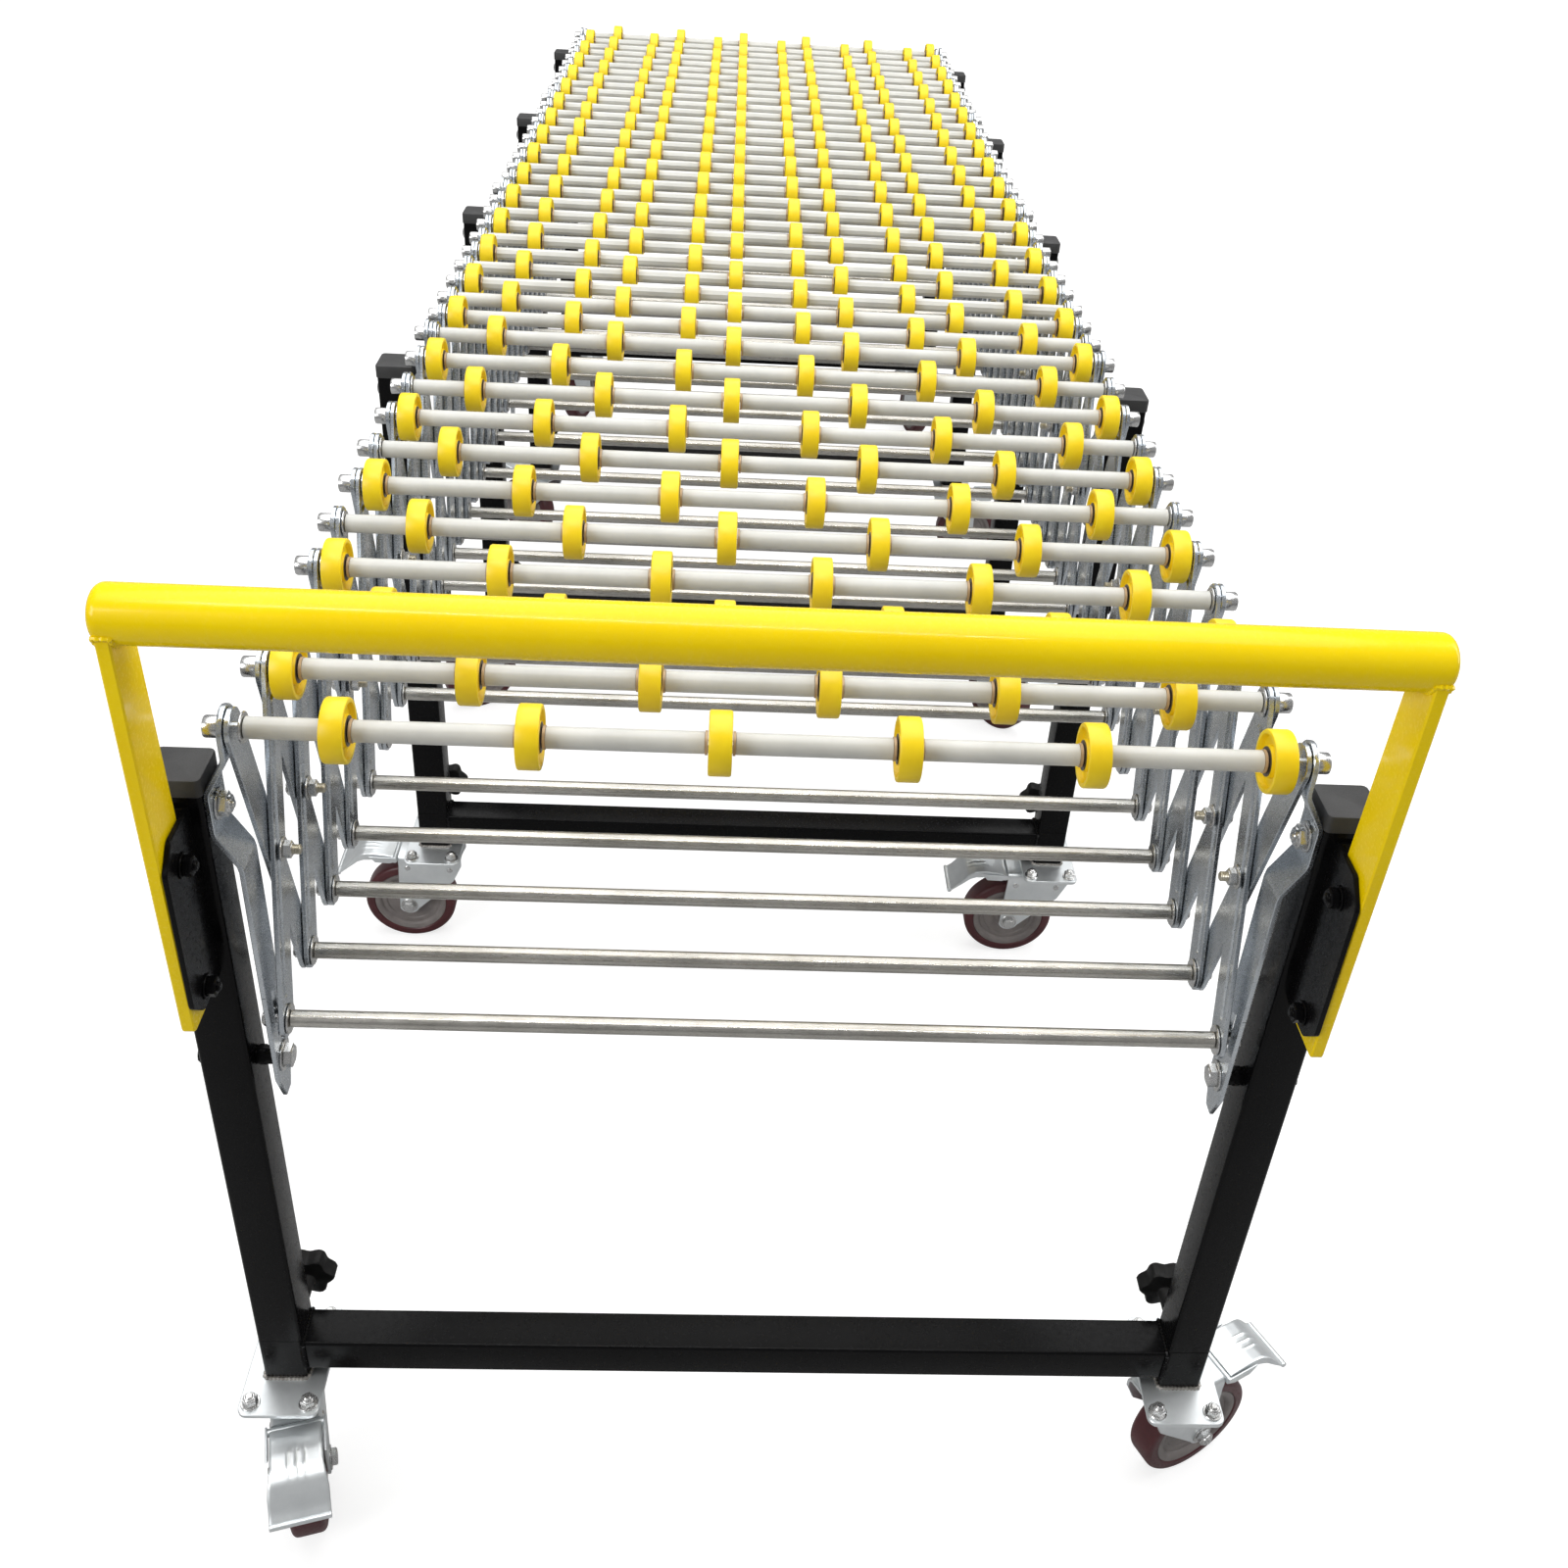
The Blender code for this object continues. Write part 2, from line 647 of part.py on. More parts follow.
def upper_leg_pieces(side, y, pivoting, slotted):
    """An upper leg tube with its cap and bracket, and the cut that hollows it."""
    half = TUBE_SIDE / 2
    inner = half - TUBE_WALL
    far_x = TUBE_FACE_X + TUBE_SIDE
    tube = sided_box(side, TUBE_FACE_X, far_x, (y - half, y + half), (SEAM_HEIGHT, TUBE_TOP))
    cap = sided_box(
        side, TUBE_FACE_X - CAP_OVERLAP, far_x + CAP_OVERLAP,
        (y - half - CAP_OVERLAP, y + half + CAP_OVERLAP),
        (TUBE_TOP - CAP_SKIRT, TUBE_TOP + CAP_THICKNESS),
    )
    hollow = sided_box(
        side, TUBE_CENTRE_X - inner, TUBE_CENTRE_X + inner, (y - inner, y + inner),
        (SEAM_HEIGHT - OVERRUN, TUBE_TOP - TUBE_WALL),
    )
    return [tube, cap] + bracket_pieces(side, y, pivoting, slotted), [hollow]


def fixed_leg_pieces(row):
    """Both upper legs of a frame behind the first one, with their knobs and what joins them."""
    pieces = []
    cuts = []
    y = row_y(row)
    knob = plain_knob_mesh()
    for side in SIDES:
        found, hollow = upper_leg_pieces(side, y, False, row == LEG_ROWS[1])
        pieces += found
        cuts += hollow
        pieces.append((knob, behind_tube(side, y, -JOIN_OVERLAP)))
        nut_tip = BRACKET_PLANE[1] + CAP_NUT_LENGTH
        near = INNER_PLANE[1]
        if row == LEG_ROWS[1]:
            near = OUTER_PLANE[0] + JOIN_OVERLAP
            nut_tip = BRACKET_PLANE[0] + JOIN_OVERLAP
        pieces.append(side_disc(side, near, nut_tip, CAP_NUT_RADIUS, y, AXLE_HEIGHT))
    return pieces, cuts


def add_rear_beds(builder):
    """The two fused beds behind the second leg frame, with the upper legs that carry them."""
    first = FRONT_CELLS + 2
    thickness = OUTER_PLANE[1] - INNER_PLANE[0]
    middle = (OUTER_PLANE[1] + INNER_PLANE[0]) / 2
    beds = (
        ("rear_bed_a", first, BED_SPLIT_ROW, False, True),
        ("rear_bed_b", BED_SPLIT_ROW + 1, ROW_COUNT, True, False),
    )
    for name, low, high, starts_cut, ends_cut in beds:
        outline, holes = lattice_outline(low, high, starts_cut, ends_cut)
        plate = flat_plate(outline, thickness, holes)
        pieces = [(plate, upright(side * middle, 0.0, AXLE_HEIGHT)) for side in SIDES]
        cuts = []
        for row in range(low, high + 1):
            pieces += fused_row_pieces(row)
        if not starts_cut:
            pieces += first_rear_links()
            cuts += first_rear_bores()
        for row in LEG_ROWS[1:]:
            if low - 1 <= row <= high:
                found, hollow = fixed_leg_pieces(row)
                pieces += found
                cuts += hollow
        builder.fuse(name, "zinc_plate", pieces, cuts=cuts)


def first_rear_links():
    """The links of the first fused cell, kept in their own planes for the pivots of row 11."""
    y = row_y(FRONT_CELLS + 1)
    falling = link_outline((0.0, 0.0), (REAR_SPACING, -REAR_DROP))
    rising = link_outline((0.0, -REAR_DROP), (REAR_SPACING, 0.0))
    slot = upright_slot(0.0, -DEEPEST_DROP, -HIGHEST_DROP, AXLE_RADIUS)
    pieces = pair_of_plates(falling, OUTER_PLANE, y, AXLE_HEIGHT)
    return pieces + pair_of_plates(rising, INNER_PLANE, y, AXLE_HEIGHT, [slot])


def first_rear_bores():
    """The bores that the last free axle turns in, through link, bush and bracket."""
    radius = (AXLE_RADIUS + CLEARANCE) / math.cos(math.pi / PIN_STEPS)
    y = row_y(FRONT_CELLS + 1)
    near = OUTER_PLANE[0] - OVERRUN
    far = BRACKET_PLANE[1] + OVERRUN
    return [side_disc(side, near, far, radius, y, AXLE_HEIGHT) for side in SIDES]


def cell_points(cell):
    """Top and bottom pivots at both rows of a front cell, as (y, z) pairs, and its middle."""
    near = row_y(cell)
    far = row_y(cell + 1)
    low = AXLE_HEIGHT - FRONT_DROP
    middle = ((near + far) / 2, (AXLE_HEIGHT + low) / 2)
    return near, far, low, middle


def add_falling_pair(builder, cell, parent):
    """The outer links of a cell, from its near top to its far bottom, and the rod they carry."""
    near, far, low, middle = cell_points(cell)
    slope = (FRONT_SPACING, -FRONT_DROP)
    holes = [pivot_hole((slope[0] / 2, slope[1] / 2), AXLE_RADIUS)]
    if cell > 1:
        holes.append(pivot_hole((0.0, 0.0), AXLE_RADIUS))
    pieces = pair_of_plates(link_outline((0.0, 0.0), slope), OUTER_PLANE, near, AXLE_HEIGHT, holes)
    at_leg = cell + 1 in LEG_ROWS
    outer_face = BRACKET_PLANE[1] if at_leg else OUTER_PLANE[1]
    pieces.append((rod_mesh(outer_face), along_x(0.0, far, low)))
    if cell == 1:
        axle = axle_mesh(BRACKET_PLANE[1] + CLEARANCE)
        pieces.append((axle, along_x(0.0, near, AXLE_HEIGHT)))
    builder.fuse(f"link_pair_a{cell}", "zinc_plate", pieces, (0.0, *middle), parent)


def add_rising_pair(builder, cell, parent):
    """The inner links of a cell, from its near bottom to its far top, and the axle they carry."""
    near, far, low, middle = cell_points(cell)
    slope = (FRONT_SPACING, FRONT_DROP)
    holes = [pivot_hole((0.0, 0.0), AXLE_RADIUS)] if cell > 1 else []
    pieces = pair_of_plates(link_outline((0.0, 0.0), slope), INNER_PLANE, near, low, holes)
    at_leg = cell + 1 in LEG_ROWS
    nut_face = (BRACKET_PLANE[1] if at_leg else OUTER_PLANE[1]) + CLEARANCE
    row = cell + 1
    axle = axle_mesh(nut_face, row if row > FREE_ROLLER_ROWS else None)
    pieces.append((axle, along_x(0.0, far, AXLE_HEIGHT)))
    pin = mid_pin_mesh()
    pieces += [(pin, along_side(side, *middle)) for side in SIDES]
    if cell == 1:
        pieces.append((rod_mesh(BRACKET_PLANE[1]), along_x(0.0, near, low)))
    builder.fuse(f"link_pair_b{cell}", "zinc_plate", pieces, (0.0, far, AXLE_HEIGHT), parent)


def add_front_cells(builder):
    """The link pairs from the fixed bed to the first leg frame, each parented to the one before."""
    parent = "rear_bed_a"
    for cell in range(FRONT_CELLS, 0, -1):
        add_rising_pair(builder, cell, parent)
        add_falling_pair(builder, cell, f"link_pair_b{cell}")
        parent = f"link_pair_a{cell}"


def add_wheel_rows(builder):
    """The rows of wheels that turn on the first axles, bored for them."""
    bore = (AXLE_RADIUS + CLEARANCE) / math.cos(math.pi / ROLLER_STEPS)
    for row in range(1, FREE_ROLLER_ROWS + 1):
        outer = roller_profile(row)
        mesh = turned(outer + [(outer[-1][0], bore), (outer[0][0], bore)], ROLLER_STEPS)
        mesh.transform(Matrix.Rotation(math.pi / 2, 4, "Y"))
        carrier = "link_pair_a1" if row == 1 else f"link_pair_b{row - 1}"
        builder.add(f"wheel_row_{row}", "skate_yellow", mesh, (0.0, row_y(row), AXLE_HEIGHT), carrier)


def angle_bracket_pieces(side, y):
    """The black angle on an upper leg that the handle's arm is bolted to, with its nuts."""
    half = TUBE_SIDE / 2
    outer_x = ARM_INNER_X - CLEARANCE
    inner_x = outer_x - ANGLE_THICKNESS
    top = -ANGLE_TOP_DROP
    bottom = -ANGLE_BOTTOM_DROP
    back = -half + JOIN_OVERLAP
    flange = [
        (back, bottom), (-ANGLE_REACH + ANGLE_CORNER, bottom), (-ANGLE_REACH, bottom + ANGLE_CORNER),
        (-ANGLE_REACH, top - ANGLE_CORNER), (-ANGLE_REACH + ANGLE_CORNER, top), (back, top),
    ]
    web = flat_plate(flange, ANGLE_THICKNESS)
    seat = sided_box(
        side, inner_x + JOIN_OVERLAP, TUBE_FACE_X + TUBE_SIDE - JOIN_OVERLAP,
        (y - half - ANGLE_THICKNESS, y - half + JOIN_OVERLAP / 2),
        (AXLE_HEIGHT + bottom + JOIN_OVERLAP, AXLE_HEIGHT + top - JOIN_OVERLAP),
    )
    pieces = [(web, upright(side * (inner_x + outer_x) / 2, y, AXLE_HEIGHT)), seat]
    for drop in ANGLE_BOLT_DROPS:
        pieces.append(side_disc(
            side, inner_x - BRACKET_NUT_LENGTH, inner_x + JOIN_OVERLAP, BRACKET_NUT_RADIUS,
            y - ANGLE_BOLT_FORWARD, AXLE_HEIGHT - drop,
        ))
    return pieces


def add_leg_heads(builder):
    """The upper legs of the first frame, which ride on the first axle, with their knobs."""
    y = row_y(1)
    for side in SIDES:
        pieces, cuts = upper_leg_pieces(side, y, True, True)
        pieces += angle_bracket_pieces(side, y)
        name = f"leg_head_{SIDE_NAMES[side]}"
        builder.fuse(name, "black_paint", pieces, (0.0, y, AXLE_HEIGHT), "link_pair_a1", cuts)
        place = behind_tube(side, y, CLEARANCE)
        knob = star_knob_mesh()
        knob.transform(place.to_3x3().to_4x4())
        neck_end = tuple(place.translation)
        builder.add(f"star_knob_{SIDE_NAMES[side]}", "black_plastic", knob, neck_end, name)


def add_handle(builder):
    """The yellow push handle: a round bar between two flat arms."""
    y = row_y(1)
    shoulder = HANDLE_HALF_LENGTH - HANDLE_END_ROUND
    half = [
        (HANDLE_HALF_LENGTH, 0.0), (HANDLE_HALF_LENGTH, HANDLE_RADIUS - HANDLE_END_ROUND),
        (shoulder, HANDLE_RADIUS),
    ]
    bar_place = along_x(0.0, y - HANDLE_FORWARD, AXLE_HEIGHT + HANDLE_RISE)
    pieces = [(turned(both_ends(half), HANDLE_STEPS), bar_place)]
    arm = [
        (-ARM_BACK, -ARM_BOTTOM_DROP), (-ARM_FRONT, -ARM_BOTTOM_DROP),
        (-ARM_TOP_FRONT, HANDLE_RISE), (-ARM_TOP_BACK, HANDLE_RISE),
    ]
    plane = (ARM_INNER_X, ARM_INNER_X + ARM_THICKNESS)
    pieces += pair_of_plates(arm, plane, y, AXLE_HEIGHT)
    for side in SIDES:
        for drop in ANGLE_BOLT_DROPS:
            pieces.append(side_disc(
                side, plane[1] - JOIN_OVERLAP, plane[1] + DOME_HEIGHT, DOME_RADIUS,
                y - ANGLE_BOLT_FORWARD, AXLE_HEIGHT - drop,
            ))
    builder.fuse("push_handle", "yellow_paint", pieces, (0.0, y, AXLE_HEIGHT), "leg_head_left")


def add_leg_frames(builder):
    """The lower leg frames: posts that slide in the upper tubes, crossbar and caster plates."""
    half = TUBE_SIDE / 2
    post_half = half - TUBE_WALL - CLEARANCE
    for number, row in enumerate(LEG_ROWS, 1):
        y = row_y(row)
        bar_half = CROSSBAR_SIDE / 2
        reach = TUBE_FACE_X + JOIN_OVERLAP
        pieces = [box_between(
            (-reach, y - bar_half, CROSSBAR_BOTTOM), (reach, y + bar_half, CROSSBAR_BOTTOM + CROSSBAR_SIDE)
        )]
        for side in SIDES:
            pieces.append(sided_box(
                side, TUBE_FACE_X, TUBE_FACE_X + TUBE_SIDE, (y - half, y + half),
                (FOOT_HEIGHT - JOIN_OVERLAP, SEAM_HEIGHT - CLEARANCE),
            ))
            pieces.append(sided_box(
                side, TUBE_CENTRE_X - post_half, TUBE_CENTRE_X + post_half,
                (y - post_half, y + post_half), (FOOT_HEIGHT + OVERRUN, POST_TOP),
            ))
            pieces.append(sided_box(
                side, TUBE_CENTRE_X - CASTER_PLATE_WIDTH / 2, TUBE_CENTRE_X + CASTER_PLATE_WIDTH / 2,
                (y - CASTER_PLATE_LENGTH / 2, y + CASTER_PLATE_LENGTH / 2),
                (FOOT_HEIGHT - CASTER_PLATE_THICKNESS, FOOT_HEIGHT),
            ))
        parent = "leg_head_left" if number == 1 else "rear_bed_a" if number < 4 else "rear_bed_b"
        builder.fuse(f"leg_frame_{number}", "black_paint", pieces, (0.0, y, FOOT_HEIGHT), parent)


def pedal_mesh(loose):
    """A pressed pedal over the wheel, about its own pivot, with its reach along -Y.

    A loose pedal has a barrel on its pivot, and a fused one is carried on into the fork instead.
    """
    knee = (-(PEDAL_KNEE_REACH - PEDAL_PIVOT_BACK), PEDAL_RISE / 2)
    tip = (-(PEDAL_REACH - PEDAL_PIVOT_BACK), -PEDAL_FALL)
    root = 0.0 if loose else PEDAL_PIVOT_BACK - FORK_BRIDGE_BACK + JOIN_OVERLAP
    outline = [
        (root, 0.0), knee, tip, (tip[0], tip[1] + PEDAL_THICKNESS),
        (knee[0], knee[1] + PEDAL_THICKNESS), (root, PEDAL_THICKNESS + PEDAL_BARREL_RADIUS),
    ]
    plate = flat_plate(outline, PEDAL_WIDTH)
    if not loose:
        return fused_mesh([(plate, upright(0.0, 0.0, 0.0))])
    barrel = turned(
        both_ends([(PEDAL_WIDTH / 2 - OVERRUN, 0.0), (PEDAL_WIDTH / 2 - OVERRUN, PEDAL_BARREL_RADIUS)]),
        PIN_STEPS,
    )
    return fused_mesh([(plate, upright(0.0, 0.0, 0.0)), (barrel, along_x(0.0, 0.0, 0.0))])


def fork_mesh(loose_pedal):
    """A swivel fork about its swivel axis at floor level, with the wheel trailing along -Y."""
    race_top = BRIDGE_TOP + RACE_DEPTH
    race_bottom = BRIDGE_TOP - JOIN_OVERLAP
    race = turned(
        [(race_top, 0.0), (race_top, RACE_RADIUS), (race_bottom, RACE_RADIUS), (race_bottom, 0.0)],
        RACE_STEPS,
    )
    half = FORK_WIDTH / 2
    bridge = box_between(
        (-half, -FORK_BRIDGE_BACK, BRIDGE_TOP - FORK_WALL), (half, FORK_BRIDGE_FRONT, BRIDGE_TOP)
    )
    toe = CASTER_WHEEL_RADIUS - FORK_TOE
    cheek = [
        (FORK_BRIDGE_FRONT, BRIDGE_TOP), (-FORK_BRIDGE_BACK, BRIDGE_TOP),
        (-CASTER_TRAIL - FORK_TOE, toe), (-CASTER_TRAIL + FORK_TOE, toe),
    ]
    cheeks = pair_of_plates(cheek, (half - FORK_WALL, half), 0.0, 0.0)
    end = [(CASTER_AXLE_END, 0.0), (CASTER_AXLE_END, CASTER_AXLE_RADIUS)]
    axle = turned(both_ends(end), PIN_STEPS)
    pieces = [(race, Matrix.Identity(4)), bridge, *cheeks]
    pieces.append((axle, along_x(0.0, -CASTER_TRAIL, CASTER_WHEEL_RADIUS)))
    if not loose_pedal:
        pieces.append((pedal_mesh(False), at(0.0, -PEDAL_PIVOT_BACK, PEDAL_PIVOT_HEIGHT)))
    return fused_mesh(pieces)


def caster_wheel_mesh():
    """A caster wheel about its axle, with a flat of its tread facing the floor."""
    outer = CASTER_WHEEL_RADIUS / math.cos(math.pi / CASTER_WHEEL_STEPS)
    bore = (CASTER_AXLE_RADIUS + CLEARANCE) / math.cos(math.pi / CASTER_WHEEL_STEPS)
    half = CASTER_WHEEL_WIDTH / 2
    profile = [(half, bore), (half, outer), (-half, outer), (-half, bore)]
    wheel = turned(profile, CASTER_WHEEL_STEPS)
    wheel.transform(Matrix.Rotation(math.pi / CASTER_WHEEL_STEPS, 4, "Z"))
    wheel.transform(Matrix.Rotation(math.pi / 2, 4, "Y"))
    return wheel


def add_casters(builder):
    """The ten swivel casters, turned as they stand, the first two with loose brake pedals."""
    for (number, side), turn in CASTER_TURNS.items():
        y = row_y(LEG_ROWS[number - 1])
        suffix = f"{number}_{SIDE_NAMES[side]}"
        swivel = (side * TUBE_CENTRE_X, y, 0.0)
        loose = number == 1
        fork = fork_mesh(loose)
        builder.add(f"caster_fork_{suffix}", "zinc_plate", fork, swivel, f"leg_frame_{number}", turn)
        heading = Matrix.Rotation(math.radians(turn), 4, "Z")
        axle = Vector(swivel) + heading @ Vector((0.0, -CASTER_TRAIL, CASTER_WHEEL_RADIUS))
        builder.add(
            f"caster_wheel_{suffix}", "caster_tread", caster_wheel_mesh(), axle,
            f"caster_fork_{suffix}", turn,
        )
        if loose:
            hinge = heading @ Vector((0.0, -PEDAL_PIVOT_BACK, PEDAL_PIVOT_HEIGHT)) + Vector(swivel)
            builder.add(
                f"brake_pedal_{suffix}", "zinc_plate", pedal_mesh(True), hinge,
                f"caster_fork_{suffix}", turn,
            )


def main():
    """Builds the conveyor."""
    clear_scene()
    builder = Builder(new_collection("gravity_roller_conveyor"))
    add_rear_beds(builder)
    add_front_cells(builder)
    add_wheel_rows(builder)
    add_leg_heads(builder)
    add_handle(builder)
    add_leg_frames(builder)
    add_casters(builder)


main()
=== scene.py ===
"""Looks of an expandable skate-wheel conveyor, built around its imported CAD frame.

Lengths are in metres, +Z is up, and the bed runs along Y with the push handle at -Y. Every shape is a
closed surface worked out with numpy from a few sizes, placed where the CAD puts its node, and rides on
that node's body.
"""

from __future__ import annotations

import logging
import math
from collections.abc import Sequence
from dataclasses import dataclass, field
from enum import Enum

import bpy
import numpy as np
from mathutils import Matrix, Vector

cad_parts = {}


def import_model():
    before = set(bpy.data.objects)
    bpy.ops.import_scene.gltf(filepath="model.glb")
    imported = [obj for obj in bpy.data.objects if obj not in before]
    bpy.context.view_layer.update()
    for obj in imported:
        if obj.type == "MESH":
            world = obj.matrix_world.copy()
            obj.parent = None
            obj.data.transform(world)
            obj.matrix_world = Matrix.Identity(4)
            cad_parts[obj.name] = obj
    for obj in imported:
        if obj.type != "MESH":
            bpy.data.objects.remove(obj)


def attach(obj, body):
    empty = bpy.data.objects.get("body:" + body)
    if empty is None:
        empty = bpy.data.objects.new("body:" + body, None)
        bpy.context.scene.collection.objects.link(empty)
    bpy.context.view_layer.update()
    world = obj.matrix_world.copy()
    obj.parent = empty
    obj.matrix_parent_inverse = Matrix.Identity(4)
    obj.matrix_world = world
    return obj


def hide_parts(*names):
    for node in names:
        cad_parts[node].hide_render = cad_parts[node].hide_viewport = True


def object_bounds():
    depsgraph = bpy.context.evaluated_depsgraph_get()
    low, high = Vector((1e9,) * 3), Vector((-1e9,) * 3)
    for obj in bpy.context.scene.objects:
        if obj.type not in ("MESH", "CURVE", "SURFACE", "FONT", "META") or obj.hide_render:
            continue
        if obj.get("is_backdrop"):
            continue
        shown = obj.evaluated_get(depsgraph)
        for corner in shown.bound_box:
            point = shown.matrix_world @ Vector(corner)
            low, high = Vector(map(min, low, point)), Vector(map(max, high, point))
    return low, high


LOG = logging.getLogger("conveyor_looks")
Array = np.ndarray
Pair = tuple[float, float]
Triple = tuple[float, float, float]
Tree = bpy.types.NodeTree
Socket = bpy.types.NodeSocket
Inputs = dict[str | int, Socket | float | tuple]
SIDES = (-1, 1)
SIDE_NAMES = {-1: "left", 1: "right"}
SMOOTH_LIMIT = math.radians(32.0)
QUARTER = math.pi / 2.0
SHORTEST_EDGE = 1e-9
REAR = "rear_beds"


# --- Shapes -----------------------------------------------------------------------------------------


@dataclass
class Shape:
    """A closed surface: its points, and its faces kept by how many corners they have."""

    points: Array
    faces: dict[int, Array] = field(default_factory=dict)

    def moved(self, place: Matrix) -> Shape:
        """The shape carried by a turn and a shift, with the same faces."""
        turn = np.array(place.to_3x3())
        return Shape(self.points @ turn.T + np.array(place.translation), self.faces)

    def shifted(self, x: float, y: float = 0.0, z: float = 0.0) -> Shape:
        """The shape carried by a plain shift."""
        return self.moved(Matrix.Translation((x, y, z)))

    def at_each(self, shifts: Sequence[float]) -> Shape:
        """Copies of the shape shifted along X, as one shape."""
        return joined([self.shifted(x) for x in shifts])

    def outward(self) -> Shape:
        """The shape with its faces turned so that they point out.

        Six times the signed volume is the sum of a . (b x c) over fans of every face.

        Returns:
            The shape itself, or one with its faces reversed.
        """
        total = 0.0
        for corners, index in self.faces.items():
            first = self.points[index[:, 0]]
            for step in range(1, corners - 1):
                second, third = self.points[index[:, step]], self.points[index[:, step + 1]]
                total += float(np.einsum("ij,ij->i", first, np.cross(second, third)).sum())
        if total >= 0.0:
            return self
        return Shape(self.points, {count: index[:, ::-1] for count, index in self.faces.items()})


def joined(shapes: Sequence[Shape]) -> Shape:
    """Several shapes as one.

    Args:
        shapes: The shapes, in any order.

    Returns:
        One shape that holds all their points and faces.
    """
    faces: dict[int, list[Array]] = {}
    start = 0
    for shape in shapes:
        for count, index in shape.faces.items():
            faces.setdefault(count, []).append(index + start)
        start += len(shape.points)
    points = np.concatenate([shape.points for shape in shapes])
    return Shape(points, {count: np.concatenate(parts) for count, parts in faces.items()})


def loft(rings: Array, closes: bool = False) -> Shape:
    """A skin over rings of points: ring i, point j joins ring i + 1, point j, all the way round.

    Args:
        rings: Points as (rings, points in a ring, 3).
        closes: True joins the last ring to the first, and False caps both ends with one face each.

    Returns:
        The closed surface, with its faces pointing out.
    """
    count, around, _ = rings.shape
    row = np.arange(count if closes else count - 1)[:, None] * around
    ring = (row + np.arange(around)).ravel()
    turned = (row + (np.arange(around) + 1) % around).ravel()
    total = count * around
    quads = np.stack([ring, turned, (turned + around) % total, (ring + around) % total], axis=1)
    faces = {4: quads}
    if not closes:
        caps = np.stack([np.arange(around)[::-1], total - around + np.arange(around)])
        faces[around] = np.concatenate([quads, caps]) if around == 4 else caps
    return Shape(rings.reshape(-1, 3), faces).outward()


def turned_surface(x: Array, radius: Array, angle: Array, closes: bool = False) -> Shape:
    """A surface about X whose points are (x, r cos t, r sin t)."""
    rings = np.broadcast_arrays(x, radius * np.cos(angle), radius * np.sin(angle))
    return loft(np.stack(rings, axis=2), closes)


def lathe(profile: Sequence[Pair], steps: int, closes: bool = False) -> Shape:
    """Pairs of x and radius turned about X; a ring with a bore closes, round its whole section."""
    x, radius = np.array(profile, float).T[:, :, None]
    return turned_surface(x, radius, (np.arange(steps) + 0.5) * 2.0 * np.pi / steps, closes)


def both_ways(half: Sequence[Pair]) -> list[Pair]:
    """A whole profile from one half of it, by adding its mirror image."""
    return [*half, *((-x, radius) for x, radius in reversed(half))]


def soft_rod(start: float, end: float, radius: float, soft: float, steps: int) -> Shape:
    """A round bar along X whose two rims are cut back a little."""
    small = radius - soft
    return lathe([(start, small), (start + soft, radius), (end - soft, radius), (end, small)], steps)


def unit(vectors: Array) -> Array:
    """Vectors brought to length one."""
    return vectors / np.linalg.norm(vectors, axis=-1, keepdims=True)


def across_path(tangent: Array) -> Array:
    """The normals of a flat path, a quarter turn clockwise from its tangents."""
    return np.stack([tangent[:, 1], -tangent[:, 0]], axis=1)


def lengths_along(path: Array) -> Array:
    """How far along a path each of its points lies."""
    return np.concatenate([[0.0], np.cumsum(np.linalg.norm(np.diff(path, axis=0), axis=1))])


def walked(path: Array, at: Array) -> Array:
    """The points of a path at given lengths along it."""
    length = lengths_along(path)
    return np.stack([np.interp(at, length, column) for column in path.T], axis=1)


def ring_closed(outline: Array) -> Array:
    """An outline with its first point once more at its end."""
    return np.concatenate([outline, outline[:1]])


def at_levels(levels: Sequence[tuple[Array, float]], axis: int = 2) -> Array:
    """Outlines as rings, (levels, n, 3), that lie across an axis, each at its own level."""
    return np.stack([np.insert(outline, axis, level, axis=1) for outline, level in levels])


def inset(outline: Array, distance: float) -> Array:
    """An outline moved in by a distance: each corner slides along the mitre of its two edges.

    Args:
        outline: Corners of a closed outline that runs anticlockwise, as (n, 2).
        distance: How far each edge moves in.

    Returns:
        The corners of the smaller outline.
    """
    edges = np.roll(outline, -1, axis=0) - outline
    lengths = np.maximum(np.linalg.norm(edges, axis=1, keepdims=True), SHORTEST_EDGE)
    normals = across_path(edges) / lengths
    before = np.roll(normals, 1, axis=0)
    mitre = (normals + before) / (1.0 + (normals * before).sum(axis=1, keepdims=True))
    return outline - distance * mitre


def plate(outline: Array, thickness: float, bevel: float, hole: Array | None = None) -> Shape:
    """A flat plate in XY with bevelled rims, its lower face at z = 0.

    Four rings carry it: the inset outline at the bottom, the outline a bevel above it, the outline a
    bevel below the top, and the inset outline at the top. A hole adds its own outline at the top and at
    the bottom, joined to the outer one corner to corner.

    Args:
        outline: The corners, anticlockwise, as (n, 2).
        thickness: How thick the plate is.
        bevel: The size of the bevel on both outer rims.
        hole: As many corners for a hole, starting on the same side.

    Returns:
        The plate.
    """
    small = inset(outline, bevel)
    levels = [(small, 0.0), (outline, bevel), (outline, thickness - bevel), (small, thickness)]
    if hole is None:
        return loft(at_levels(levels))
    return loft(at_levels([*levels, (hole, thickness), (hole, 0.0)]), closes=True)


def arc_points(centre: Pair, radius: float, start: float, end: float, steps: int) -> Array:
    """Points of an arc: centre + radius (cos t, sin t), with t running from start to end in degrees."""
    angle = np.radians(np.linspace(start, end, steps + 1))
    return np.array(centre) + radius * np.stack([np.cos(angle), np.sin(angle)], axis=1)


